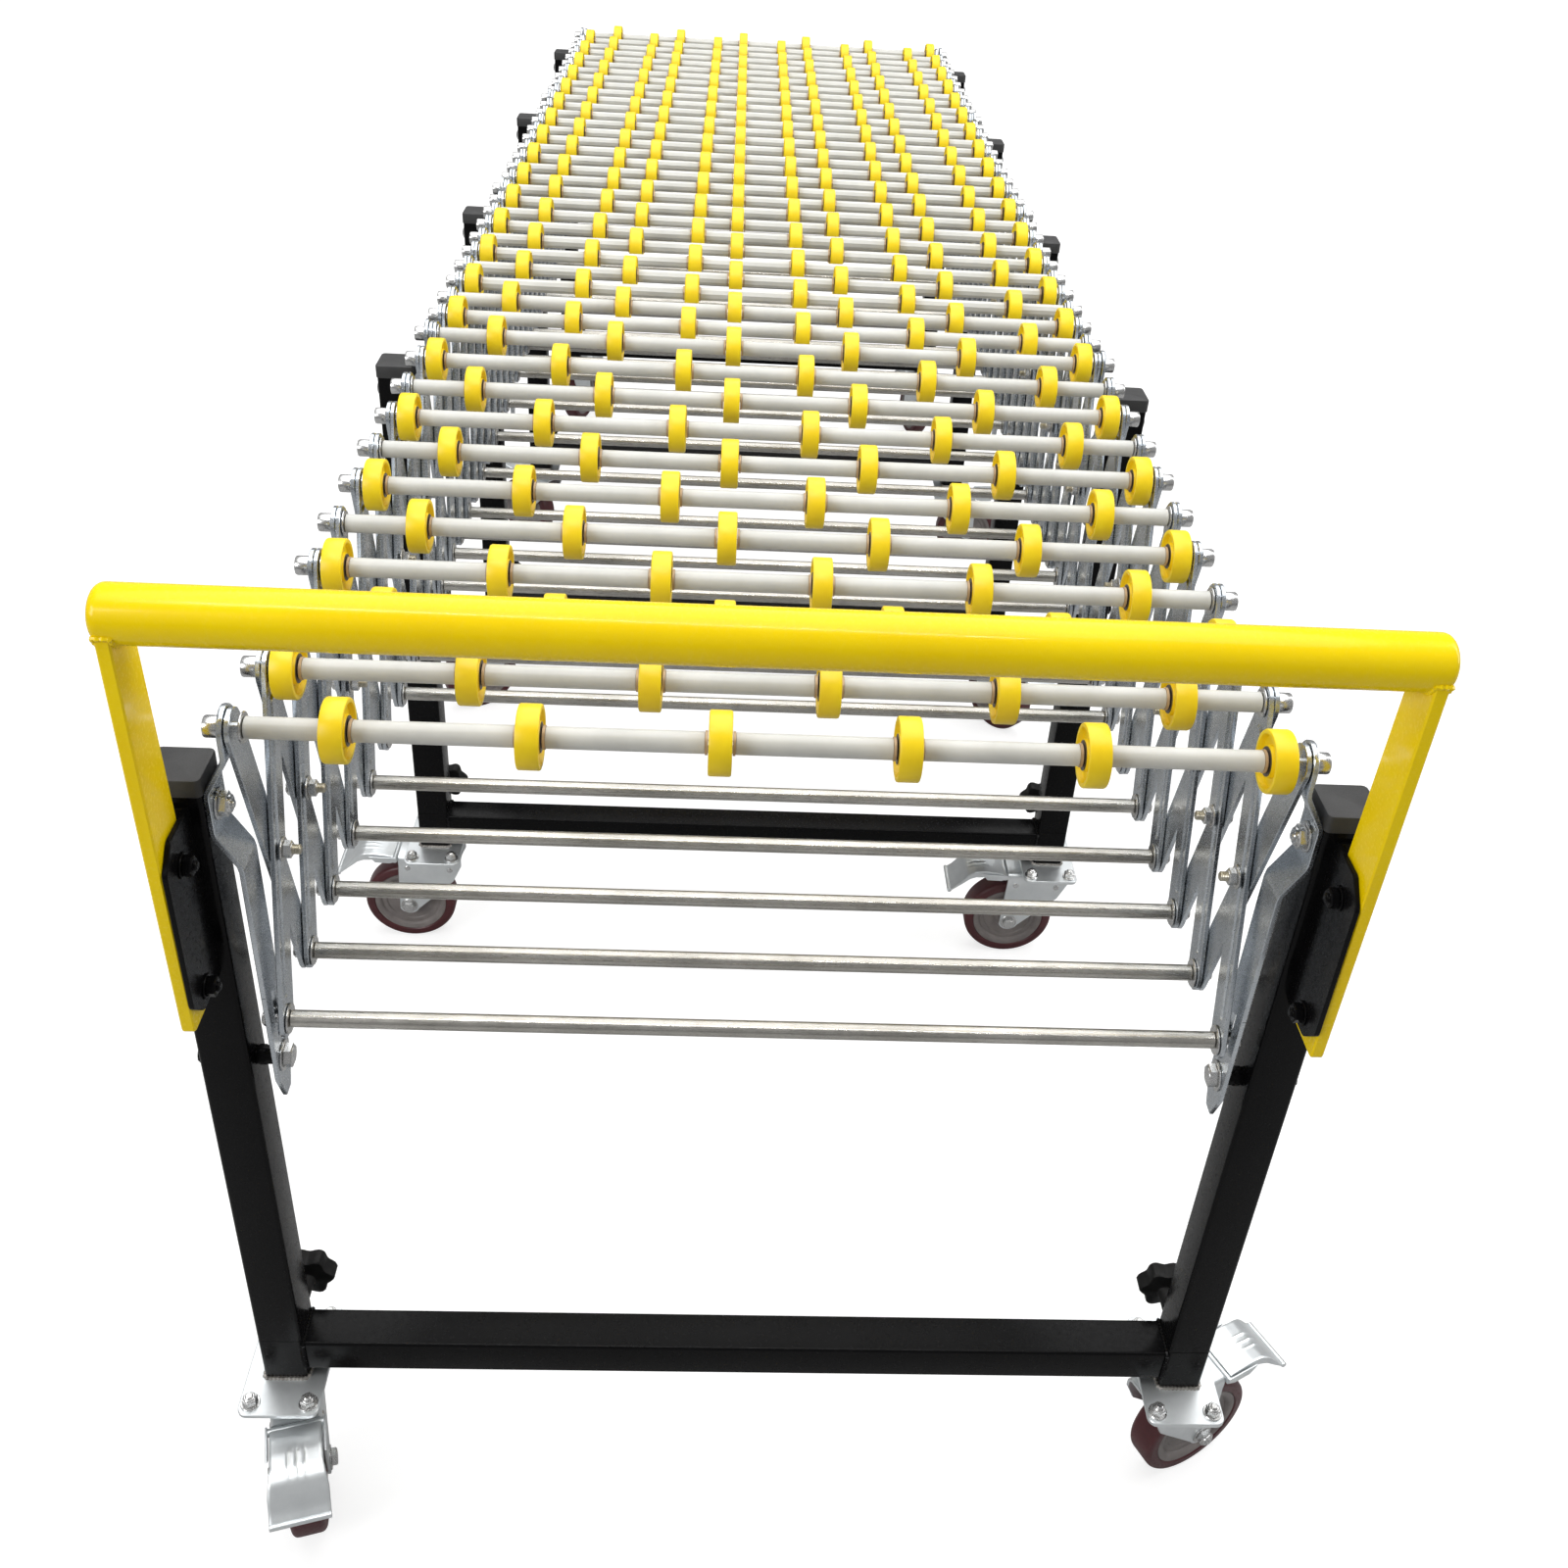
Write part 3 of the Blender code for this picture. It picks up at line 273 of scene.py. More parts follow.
def rounded_box(width: float, height: float, radius: float, steps: int = 3) -> Array:
    """A rectangle about the origin with four quarter-circle corners.

    Args:
        width: Its size along the first axis.
        height: Its size along the second axis.
        radius: The corners' radius.
        steps: How many edges each corner has.

    Returns:
        The outline, anticlockwise.
    """
    x, y = width / 2.0 - radius, height / 2.0 - radius
    corners = [((x, y), 0.0), ((-x, y), 90.0), ((-x, -y), 180.0), ((x, -y), 270.0)]
    return np.concatenate([arc_points(at, radius, turn, turn + 90.0, steps) for at, turn in corners])


def stadium(start: Array, end: Array, radius: float, steps: int = 7) -> Array:
    """The outline of a bar with round ends.

    Args:
        start: The middle of the first end.
        end: The middle of the second end.
        radius: Half the bar's width.
        steps: How many edges each end has.

    Returns:
        The outline, anticlockwise.
    """
    lean = math.degrees(math.atan2(end[1] - start[1], end[0] - start[0]))
    ends = ((start, lean + 90.0), (end, lean - 90.0))
    halves = [arc_points(tuple(at), radius, turn, turn + 180.0, steps) for at, turn in ends]
    return np.concatenate(halves)


def softened(corners: Array, radius: float) -> Array:
    """An outline whose corners are rounded: each becomes a quadratic curve between its two edges.

    Args:
        corners: The sharp corners, anticlockwise.
        radius: How far along each edge the curve starts.

    Returns:
        The smooth outline.
    """
    start, end = (corners + unit(np.roll(corners, way, axis=0) - corners) * radius for way in (1, -1))
    share = np.linspace(0.0, 1.0, 5)[None, :, None]
    middle = 2 * share * (1 - share) * corners[:, None]
    curve = (1 - share) ** 2 * start[:, None] + middle + share**2 * end[:, None]
    return curve.reshape(-1, 2)


def bent_strip(path: Array, width: Array, thickness: float, bevel: float) -> Shape:
    """A flat bar bent along a path in XZ, across Y.

    At each point of the path the section is a rectangle with cut corners: width along Y and
    thickness along the path's normal, which is the mean of the normals of its two spans.

    Args:
        path: The middle line, as (n, 2) pairs of x and z.
        width: The width at each point.
        thickness: How thick the bar is.
        bevel: How much each corner of the section is cut.

    Returns:
        The bent bar.
    """
    sharpest = 0.5
    spans = unit(np.diff(path, axis=0))
    ahead = np.concatenate([spans, spans[-1:]])
    behind = np.concatenate([spans[:1], spans])
    normal = across_path(unit(ahead + behind))
    reach = thickness / 2.0 / np.maximum((normal * across_path(ahead)).sum(1), sharpest)
    outer = np.array([1, 1, -1, -1, -1, -1, 1, 1])
    right = np.array([1, 1, 1, 1, -1, -1, -1, -1])
    cut_side = np.array([1, 0, 0, 1, 1, 0, 0, 1])
    out = outer * (reach[:, None] - bevel * (1 - cut_side))
    side = right * (width[:, None] / 2.0 - bevel * cut_side)
    x, z = (path[:, axis, None] + normal[:, axis, None] * out for axis in (0, 1))
    return loft(np.stack([x, side, z], axis=2))


def weld_bead(path: Array, radius: float, pitch: float) -> Shape:
    """A weld bead: circles along a closed path whose radius swells as 1 + 0.18 sin(2 pi s / pitch).

    Args:
        path: Corners of a closed path, as (n, 3), which is resampled at a quarter of the pitch.
        radius: The bead's mean radius.
        pitch: The length of one ripple.

    Returns:
        The bead.
    """
    ripple, sides, fewest = 0.18, 6, 24
    closed = ring_closed(path)
    length = lengths_along(closed)[-1]
    at = np.linspace(0.0, length, max(fewest, int(length / pitch * 4.0)), endpoint=False)
    middle = walked(closed, at)
    tangent = unit(np.roll(middle, -1, axis=0) - np.roll(middle, 1, axis=0))
    centred = middle - middle.mean(axis=0)
    up = unit(np.cross(centred, np.roll(centred, -1, axis=0)).sum(axis=0))
    side = unit(np.cross(tangent, up))
    over = np.cross(side, tangent)
    swell = radius * (1.0 + ripple * np.sin(2.0 * np.pi * at / pitch))
    angle = (np.arange(sides) * 2.0 * np.pi / sides)[None, :, None]
    circle = np.cos(angle) * side[:, None, :] + np.sin(angle) * over[:, None, :]
    return loft(middle[:, None, :] + swell[:, None, None] * circle, closes=True)


def on_side(side: int, x: float, y: float, z: float) -> Matrix:
    """Places a shape made along +X so that it points away from the middle of the bed."""
    turn = Matrix.Identity(4) if side > 0 else Matrix.Rotation(math.pi, 4, "Z")
    return Matrix.Translation((side * x, y, z)) @ turn


def upright(x: float, y: float, z: float) -> Matrix:
    """Places a plate with its outline in YZ and its thickness along +X."""
    turn = Matrix(((0, 0, 1, 0), (1, 0, 0, 0), (0, 1, 0, 0), (0, 0, 0, 1)))
    return Matrix.Translation((x, y, z)) @ turn


def low_face(side: int, near: float, thickness: float) -> float:
    """The lower x of a plate on one side, from its distance to the middle of the bed."""
    return near if side > 0 else -near - thickness


# --- Finishes ---------------------------------------------------------------------------------------


def fill(tree: Tree, node: bpy.types.Node, inputs: Inputs) -> None:
    """Sets a node's inputs.

    Args:
        tree: The tree that holds the node.
        node: The node.
        inputs: What each input gets: a socket is linked, and anything else becomes the value.
    """
    for name, value in inputs.items():
        if isinstance(value, Socket):
            tree.links.new(value, node.inputs[name])
        else:
            node.inputs[name].default_value = value


def add_node(tree: Tree, kind: str, inputs: Inputs, **settings: str) -> bpy.types.Node:
    """A new shader node.

    Args:
        tree: Where it goes.
        kind: Its type, without the leading ShaderNode.
        inputs: What its inputs are linked or set to.
        settings: Its own properties, such as its operation.

    Returns:
        The node.
    """
    node = tree.nodes.new(f"ShaderNode{kind}")
    for name, value in settings.items():
        setattr(node, name, value)
    fill(tree, node, inputs)
    return node


def map_range(tree: Tree, value: Socket, source: Pair, result: Pair) -> Socket:
    """A value carried from one range to another, and kept inside it.

    Args:
        tree: The tree that gets the node.
        value: The value.
        source: The range that it comes from.
        result: The range that it goes to.

    Returns:
        The carried value.
    """
    names = ("From Min", "From Max", "To Min", "To Max")
    inputs = {"Value": value, **dict(zip(names, (*source, *result)))}
    return add_node(tree, "MapRange", inputs).outputs["Result"]


class Grain(Enum):
    """How the fine grain of a finish lies."""

    EVEN = (1.0, 1.0, 1.0)
    ALONG_X = (0.04, 1.0, 1.0)


@dataclass(frozen=True)
class Finish:
    """A surface finish, written as a node material on Object coordinates.

    Two noises drive it. The broad one blends the dark colour into the light one, and the fine one sets
    the roughness and the bump. Cells, where there are any, give a plated metal its spangle.
    """

    name: str
    light: Triple
    dark: Triple
    metallic: float = 0.0
    smoothest: float = 0.3
    roughest: float = 0.5
    broad: float = 12.0
    fine: float = 900.0
    depth: float = 0.00004
    grain: Grain = Grain.EVEN
    cells: float = 0.0
    specks: float = 0.0
    speck_colour: Triple = (0.1, 0.09, 0.08)
    coat: float = 0.0
    specular: float = 0.5
    record_slot: str = ""
    noise_range: Pair = (0.32, 0.68)
    speck_range: Pair = (0.70, 0.76)
    speck_scale: float = 260.0
    cell_share: float = 0.10
    cell_shade: float = 0.72
    coat_roughness: float = 0.08
    bump: float = 0.6

    def material(self) -> bpy.types.Material:
        """The material of this finish, made once.

        Returns:
            The node material.
        """
        found = bpy.data.materials.get(self.name)
        if found:
            return found
        made = bpy.data.materials.new(self.name)
        made.use_nodes = True
        made.diffuse_color = (*self.light, 1.0)
        tree = made.node_tree
        where = add_node(tree, "TexCoord", {}).outputs["Object"]
        stretched = add_node(tree, "Mapping", {"Scale": self.grain.value, "Vector": where})
        fine = self._noise(tree, stretched.outputs["Vector"], self.fine)
        height = {"Strength": self.bump, "Distance": self.depth, "Height": fine}
        fill(tree, tree.nodes["Principled BSDF"], {
            "Metallic": self.metallic,
            "Coat Weight": self.coat,
            "Coat Roughness": self.coat_roughness,
            "Specular IOR Level": self.specular,
            "Base Color": self._colour(tree, where),
            "Roughness": map_range(tree, fine, self.noise_range, (self.smoothest, self.roughest)),
            "Normal": add_node(tree, "Bump", height).outputs["Normal"],
        })
        return made

    def _noise(self, tree: Tree, where: Socket, scale: float) -> Socket:
        """A noise of a given scale."""
        inputs = {"Scale": scale, "Detail": 5.0, "Roughness": 0.6, "Vector": where}
        return add_node(tree, "TexNoise", inputs).outputs["Fac"]

    def _mix(self, tree: Tree, share: Socket, first: Socket | tuple, second: Triple) -> Socket:
        """Two colours mixed by a share."""
        inputs = {0: share, 6: first, 7: (*second, 1.0)}
        return add_node(tree, "Mix", inputs, data_type="RGBA").outputs[2]

    def _colour(self, tree: Tree, where: Socket) -> Socket:
        """The colour: dark to light over the broad noise, then the spangle and the specks.

        Args:
            tree: The material's nodes.
            where: The Object coordinates.

        Returns:
            The colour.
        """
        share = map_range(tree, self._noise(tree, where, self.broad), self.noise_range, (0.0, 1.0))
        colour = self._mix(tree, share, (*self.dark, 1.0), self.light)
        if self.cells:
            cells = add_node(tree, "TexVoronoi", {"Scale": self.cells, "Vector": where})
            grey = add_node(tree, "RGBToBW", {"Color": cells.outputs["Color"]}).outputs["Val"]
            soft = map_range(tree, grey, self.noise_range, (0.0, self.cell_share))
            shade = tuple(self.cell_shade * part for part in self.dark)
            colour = self._mix(tree, soft, colour, shade)
        if self.specks:
            spots = self._noise(tree, where, self.speck_scale)
            share = map_range(tree, spots, self.speck_range, (0.0, self.specks))
            colour = self._mix(tree, share, colour, self.speck_colour)
        return colour



class Finishes(Enum):
    """The finishes of the conveyor's pieces."""

    WHEEL_YELLOW = Finish(
        "moulded_yellow", (0.96, 0.715, 0.003), (0.90, 0.63, 0.002), smoothest=0.32, roughest=0.46,
        broad=30.0, fine=1400.0, depth=0.00003, specks=0.25, speck_colour=(0.45, 0.3, 0.03),
        record_slot="skate_yellow",
    )
    SLEEVE_GREY = Finish(
        "moulded_pale_grey", (0.63, 0.63, 0.60), (0.55, 0.55, 0.52), smoothest=0.30, roughest=0.42,
        broad=22.0, fine=1100.0, depth=0.00002, grain=Grain.ALONG_X, specks=0.12,
    )
    ZINC = Finish(
        "bright_zinc", (0.63, 0.665, 0.70), (0.45, 0.485, 0.52), metallic=1.0, smoothest=0.20,
        roughest=0.30, broad=16.0, fine=700.0, depth=0.000006, cells=60.0, specks=0.08,
        speck_colour=(0.20, 0.18, 0.16), record_slot="zinc_plate",
    )
    SATIN_ZINC = Finish(
        "satin_zinc", (0.83, 0.86, 0.87), (0.70, 0.73, 0.745), metallic=0.92, smoothest=0.34,
        roughest=0.46, broad=22.0, fine=800.0, depth=0.00001, specks=0.15,
        speck_colour=(0.30, 0.28, 0.25), record_slot="zinc_plate",
    )
    FASTENER = Finish(
        "fastener_zinc", (0.70, 0.70, 0.70), (0.52, 0.52, 0.51), metallic=1.0, smoothest=0.16,
        roughest=0.34, broad=60.0, fine=1800.0, depth=0.00002, record_slot="zinc_plate",
    )
    YELLOW_FASTENER = Finish(
        "thread_plain_zinc", (0.62, 0.59, 0.50), (0.44, 0.41, 0.33), metallic=1.0, smoothest=0.22,
        roughest=0.40, broad=90.0, fine=2400.0, depth=0.00006,
    )
    BARE_STEEL = Finish(
        "drawn_steel", (0.62, 0.60, 0.56), (0.40, 0.385, 0.35), metallic=1.0, smoothest=0.18,
        roughest=0.38, broad=9.0, fine=1300.0, depth=0.00004, grain=Grain.ALONG_X, specks=0.5,
        speck_colour=(0.20, 0.15, 0.10),
    )
    BEARING = Finish(
        "bearing_steel", (0.22, 0.19, 0.17), (0.10, 0.085, 0.075), metallic=0.9, smoothest=0.28,
        roughest=0.5, broad=120.0, fine=1600.0, depth=0.00003,
    )
    # Tan collar colour: partly a real brownish ring by the wheels, partly a painted reflection of the
    # yellow wheels on the grey sleeves.
    TAN_COLLAR_AND_REFLECTION = Finish(
        "tan_collar_and_painted_reflection", (0.62, 0.46, 0.29), (0.44, 0.32, 0.20), metallic=0.3, smoothest=0.35,
        roughest=0.55, broad=80.0, fine=1500.0, depth=0.00002,
    )
    BLACK_COAT = Finish(
        "gloss_black_coat", (0.0038, 0.0038, 0.0042), (0.0022, 0.0022, 0.0024), smoothest=0.17,
        roughest=0.30, broad=14.0, fine=260.0, depth=0.00001, specks=0.25,
        speck_colour=(0.03, 0.03, 0.03), specular=0.10, record_slot="black_paint",
    )
    YELLOW_COAT = Finish(
        "gloss_yellow_coat", (0.97, 0.715, 0.0), (0.93, 0.65, 0.0), smoothest=0.18, roughest=0.32,
        broad=9.0, fine=300.0, depth=0.00002, specks=0.12, speck_colour=(0.55, 0.38, 0.02), coat=0.22,
        specular=0.15, record_slot="yellow_paint",
    )
    BLACK_PLASTIC = Finish(
        "moulded_black", (0.036, 0.036, 0.036), (0.022, 0.022, 0.023), smoothest=0.45, roughest=0.65,
        broad=40.0, fine=1100.0, depth=0.00012, record_slot="black_plastic",
    )
    KNOB_BLACK = Finish(
        "moulded_deep_black", (0.009, 0.009, 0.009), (0.005, 0.005, 0.005), smoothest=0.40,
        roughest=0.60, broad=50.0, fine=900.0, depth=0.00008, specular=0.20,
    )
    TREAD = Finish(
        "maroon_tread", (0.085, 0.014, 0.018), (0.055, 0.008, 0.011), smoothest=0.28, roughest=0.48,
        broad=30.0, fine=500.0, depth=0.00005, specks=0.3, speck_colour=(0.16, 0.11, 0.10),
        record_slot="caster_tread",
    )
    CORE = Finish(
        "moulded_warm_grey", (0.24, 0.215, 0.205), (0.17, 0.15, 0.145), smoothest=0.38, roughest=0.55,
        broad=35.0, fine=900.0, depth=0.00006,
    )
    WELD = Finish(
        "silver_weld", (0.50, 0.48, 0.45), (0.24, 0.22, 0.20), metallic=1.0, smoothest=0.3,
        roughest=0.55, broad=160.0, fine=900.0, depth=0.00015,
    )


# --- The bench that gathers the pieces --------------------------------------------------------------


@dataclass
class Piece:
    """The shapes of one named piece, on one body and in one finish."""

    name: str
    body: str
    finish: Finishes
    shapes: list[Shape] = field(default_factory=list)
    stands_for: list[str] = field(default_factory=list)


@dataclass
class Bench:
    """Gathers shapes into pieces, and makes their objects at the end."""

    pieces: dict[str, Piece] = field(default_factory=dict)

    def add(
        self,
        group: str,
        body: str,
        finish: Finishes,
        shapes: Shape | Sequence[Shape],
        stands_for: Sequence[str] = (),
    ) -> None:
        """Adds shapes to the piece of a group on a body.

        Args:
            group: What the piece is, in plain words.
            body: The CAD body it rides on.
            finish: Its finish.
            shapes: One shape or several.
            stands_for: CAD nodes that the piece replaces.
        """
        name = group if body == REAR else f"{group}_{body}"
        piece = self.pieces.setdefault(name, Piece(name, body, finish))
        piece.shapes.extend([shapes] if isinstance(shapes, Shape) else shapes)
        piece.stands_for.extend(node for node in stands_for if node not in piece.stands_for)

    def make_all(self) -> None:
        """Makes every piece's object, and puts it on its body."""
        for piece in self.pieces.values():
            item = self._make(piece)
            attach(item, piece.body)
            if piece.stands_for:
                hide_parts(*piece.stands_for)
            LOG.info("%s: %d faces on %s", piece.name, len(item.data.polygons), piece.body)

    def _make(self, piece: Piece) -> bpy.types.Object:
        """The object of a piece, at the origin, with its place in its mesh.

        Args:
            piece: The piece.

        Returns:
            Its object, smooth but for its sharp edges.
        """
        whole = joined(piece.shapes)
        mesh = bpy.data.meshes.new(piece.name)
        corners = np.concatenate([index.ravel() for index in whole.faces.values()])
        sizes = np.concatenate([np.full(len(index), count) for count, index in whole.faces.items()])
        starts = np.concatenate([[0], np.cumsum(sizes)[:-1]])
        mesh.vertices.add(len(whole.points))
        mesh.loops.add(len(corners))
        mesh.polygons.add(len(sizes))
        mesh.vertices.foreach_set("co", whole.points.astype(np.float32).ravel())
        mesh.loops.foreach_set("vertex_index", corners.astype(np.int32))
        mesh.polygons.foreach_set("loop_start", starts.astype(np.int32))
        mesh.polygons.foreach_set("loop_total", sizes.astype(np.int32))
        mesh.update(calc_edges=True)
        mesh.validate()
        mesh.shade_smooth()
        mesh.set_sharp_from_angle(angle=SMOOTH_LIMIT)
        mesh.materials.append(piece.finish.value.material())
        return linked(bpy.data.objects.new(piece.name, mesh))


def linked(item: bpy.types.Object) -> bpy.types.Object:
    """The object, once it is in the scene."""
    bpy.context.scene.collection.objects.link(item)
    return item


# --- Sizes that the pieces share --------------------------------------------------------------------


@dataclass(frozen=True)
class Bed:
    """Where the rows, links and legs stand, as the CAD has them."""

    rows: int = 41
    front_cells: int = 10
    front_spacing: float = 0.080
    rear_spacing: float = 0.062
    axle_height: float = 0.895
    link_length: float = 0.2922
    inner_face: float = 0.377
    link_thickness: float = 0.004
    plate_gap: float = 0.0005
    bracket_thickness: float = 0.004
    tube_face: float = 0.4063
    tube_side: float = 0.040
    tube_corner: float = 0.0035
    seam: float = 0.2225
    leg_rows: tuple[int, ...] = (1, 11, 21, 31, 41)
    loose_rows: int = 6

    @property
    def outer_face(self) -> float:
        """Distance from the middle of the bed to the inner face of the outer links."""
        return self.inner_face + self.link_thickness + self.plate_gap

    @property
    def bracket_face(self) -> float:
        """Distance from the middle of the bed to the inner face of the zinc brackets."""
        return self.outer_face + self.link_thickness + self.plate_gap

    @property
    def tube_middle(self) -> float:
        """Distance from the middle of the bed to the middle of a leg tube."""
        return self.tube_face + self.tube_side / 2.0

    @property
    def tube_outer(self) -> float:
        """Distance from the middle of the bed to the outer face of a leg tube."""
        return self.tube_face + self.tube_side

    @property
    def tube_section(self) -> Array:
        """The outline of a leg tube."""
        return rounded_box(self.tube_side, self.tube_side, self.tube_corner, 4)

    def outer_seat(self, row: int) -> float:
        """The face that a row's outer nuts sit on: a bracket's at a leg, and else the outer link's."""
        at_leg = self.bracket_face + self.bracket_thickness
        return at_leg if row in self.leg_rows else self.outer_face + self.link_thickness

    def y(self, row: int) -> float:
        """Where a row's axle is along the bed.

        Args:
            row: The row's number, from 1 at the handle.

        Returns:
            Its distance behind the middle of the bed.
        """
        rear_cells = self.rows - 1 - self.front_cells
        length = self.front_cells * self.front_spacing + rear_cells * self.rear_spacing
        front = min(row - 1, self.front_cells)
        return -length / 2.0 + front * self.front_spacing + (row - 1 - front) * self.rear_spacing

    def low_pivot(self, cell: int) -> float:
        """How high a cell's bottom pivots are, from the link's length and the spacing of its rows."""
        spacing = self.front_spacing if cell <= self.front_cells else self.rear_spacing
        return self.axle_height - math.sqrt(self.link_length**2 - spacing**2)

    def link_body(self, cell: int, letter: str) -> str:
        """The body of a cell's falling (a) or rising (b) links."""
        return f"link_pair_{letter}{cell}" if cell <= self.front_cells else REAR

    def wheel_body(self, row: int) -> str:
        """The body that a row's wheels turn or stand with."""
        return f"wheel_row_{row}" if row <= self.loose_rows else self.link_body(row - 1, "b")

    def axle_body(self, row: int) -> str:
        """The body that carries a row's axle."""
        return self.link_body(1, "a") if row == 1 else self.link_body(row - 1, "b")

    def rod_body(self, row: int) -> str:
        """The body that carries a row's bottom rod."""
        return self.link_body(1, "b") if row == 1 else self.link_body(row - 1, "a")

    def leg_body(self, leg: int) -> str:
        """The body that a leg's upper tube is part of."""
        return "leg_head" if leg == 1 else REAR


@dataclass(frozen=True)
class Fasteners:
    """Nuts, bolts and washers, made along +X with their seat at x = 0."""

    bolt_radius: float = 0.004
    shank_radius: float = 0.0039
    thread_pitch: float = 0.00125
    thread_swing: float = 0.06
    point_length: float = 0.0012
    point_share: float = 0.72
    nut_bevel: float = 0.0007
    washer_soft: float = 0.0004
    head_washer: float = 0.0014
    lock_height: float = 0.0062
    lock_washer: float = 0.0015
    lock_end: float = 0.0115
    sides: int = 20
    clearance: float = 0.0001
    seat_gap: float = 0.0002

    def hex_nut(self, across: float, height: float) -> Shape:
        """A hexagon with bevelled rims, and a low round boss that stands for its chamfer.

        Args:
            across: Its size across the flats.
            height: How high it is.

        Returns:
            The nut.
        """
        hexagon = arc_points((0.0, 0.0), across / math.sqrt(3.0), 0.0, 300.0, 5)
        body = plate(hexagon, height, self.nut_bevel).moved(upright(0.0, 0.0, 0.0))
        boss = lathe([(height - 0.0006, across * 0.46), (height + 0.0004, across * 0.43)], 16)
        return joined([body, boss])

    def washer(self, radius: float, thickness: float, steps: int = 20) -> Shape:
        """A flat disc with softened rims."""
        return soft_rod(0.0, thickness, radius, min(self.washer_soft, thickness / 3.0), steps)

    def washed_nut(self, across: float, height: float, radius: float, thickness: float) -> Shape:
        """A hexagon on a washer of a given radius and thickness."""
        return joined([self.washer(radius, thickness), self.hex_nut(across, height).shifted(thickness)])

    def hex_head(self, across: float, height: float) -> Shape:
        """A bolt's hexagon head on a washer."""
        return self.washed_nut(across, height, across * 0.75, self.head_washer)

    def shank(self, start: float, end: float, steps: int = 12) -> Shape:
        """A plain length of bolt."""
        return lathe([(start, self.shank_radius), (end, self.shank_radius)], steps)

    def stud(self, length: float, radius: float) -> Shape:
        """A threaded end: rings whose radius swings once every thread, and a cut point.

        Args:
            length: How far it stands out.
            radius: The thread's mean radius.

        Returns:
            The stud.
        """
        along = np.arange(0.0, length - self.point_length, self.thread_pitch / 2.0)
        odd = np.arange(len(along)) % 2 == 1
        swing = radius * (1.0 + self.thread_swing * np.where(odd, 1.0, -1.0))
        point = [(length - 0.0008, radius), (length, radius * self.point_share)]
        return lathe([*zip(along.tolist(), swing.tolist()), *point], 12)

    def lock_nut(self, across: float) -> Shape:
        """A nut with a round nylon collar, on a washer, with the bolt's end in it.

        Args:
            across: The nut's size across the flats.

        Returns:
            The nut and the end.
        """
        nut = self.washed_nut(across, self.lock_height, across * 0.72, self.lock_washer)
        collar = lathe([(0.0070, across * 0.44), (0.0090, across * 0.42), (0.0097, across * 0.36)], 16)
        return joined([nut, collar, self.stud(self.lock_end, self.bolt_radius * 0.9)])

    def cap_nut(self, radius: float = 0.0082, length: float = 0.0115) -> Shape:
        """A plain round cap that closes an axle's end."""
        foot = [(0.0, radius * 0.96), (0.0006, radius), (length - 0.0014, radius)]
        return lathe([*foot, (length - 0.0004, radius * 0.95), (length, radius * 0.82)], self.sides)

    def dome(self, radius: float, height: float) -> Shape:
        """A carriage bolt's head: r = radius cos t, x = height sin t, on a thin rim.

        Args:
            radius: The rim's radius.
            height: How far the head stands out.

        Returns:
            The head.
        """
        turn = np.radians(np.linspace(0.0, 78.0, 7))
        crown = [(height * math.sin(t), radius * math.cos(t)) for t in turn]
        return lathe([(-0.0004, radius), *crown], self.sides)


# --- Sub-assemblies ---------------------------------------------------------------------------------


@dataclass
class Assembly:
    """What every sub-assembly works with: the bed's sizes, the bench and the fasteners.

    The sizes of a washer are its radius and thickness, and those of a dome its radius and height. A nut
    or a head has its size across the flats and its height, and then those of its washer.
    """

    bed: Bed
    bench: Bench
    parts: Fasteners = Fasteners()


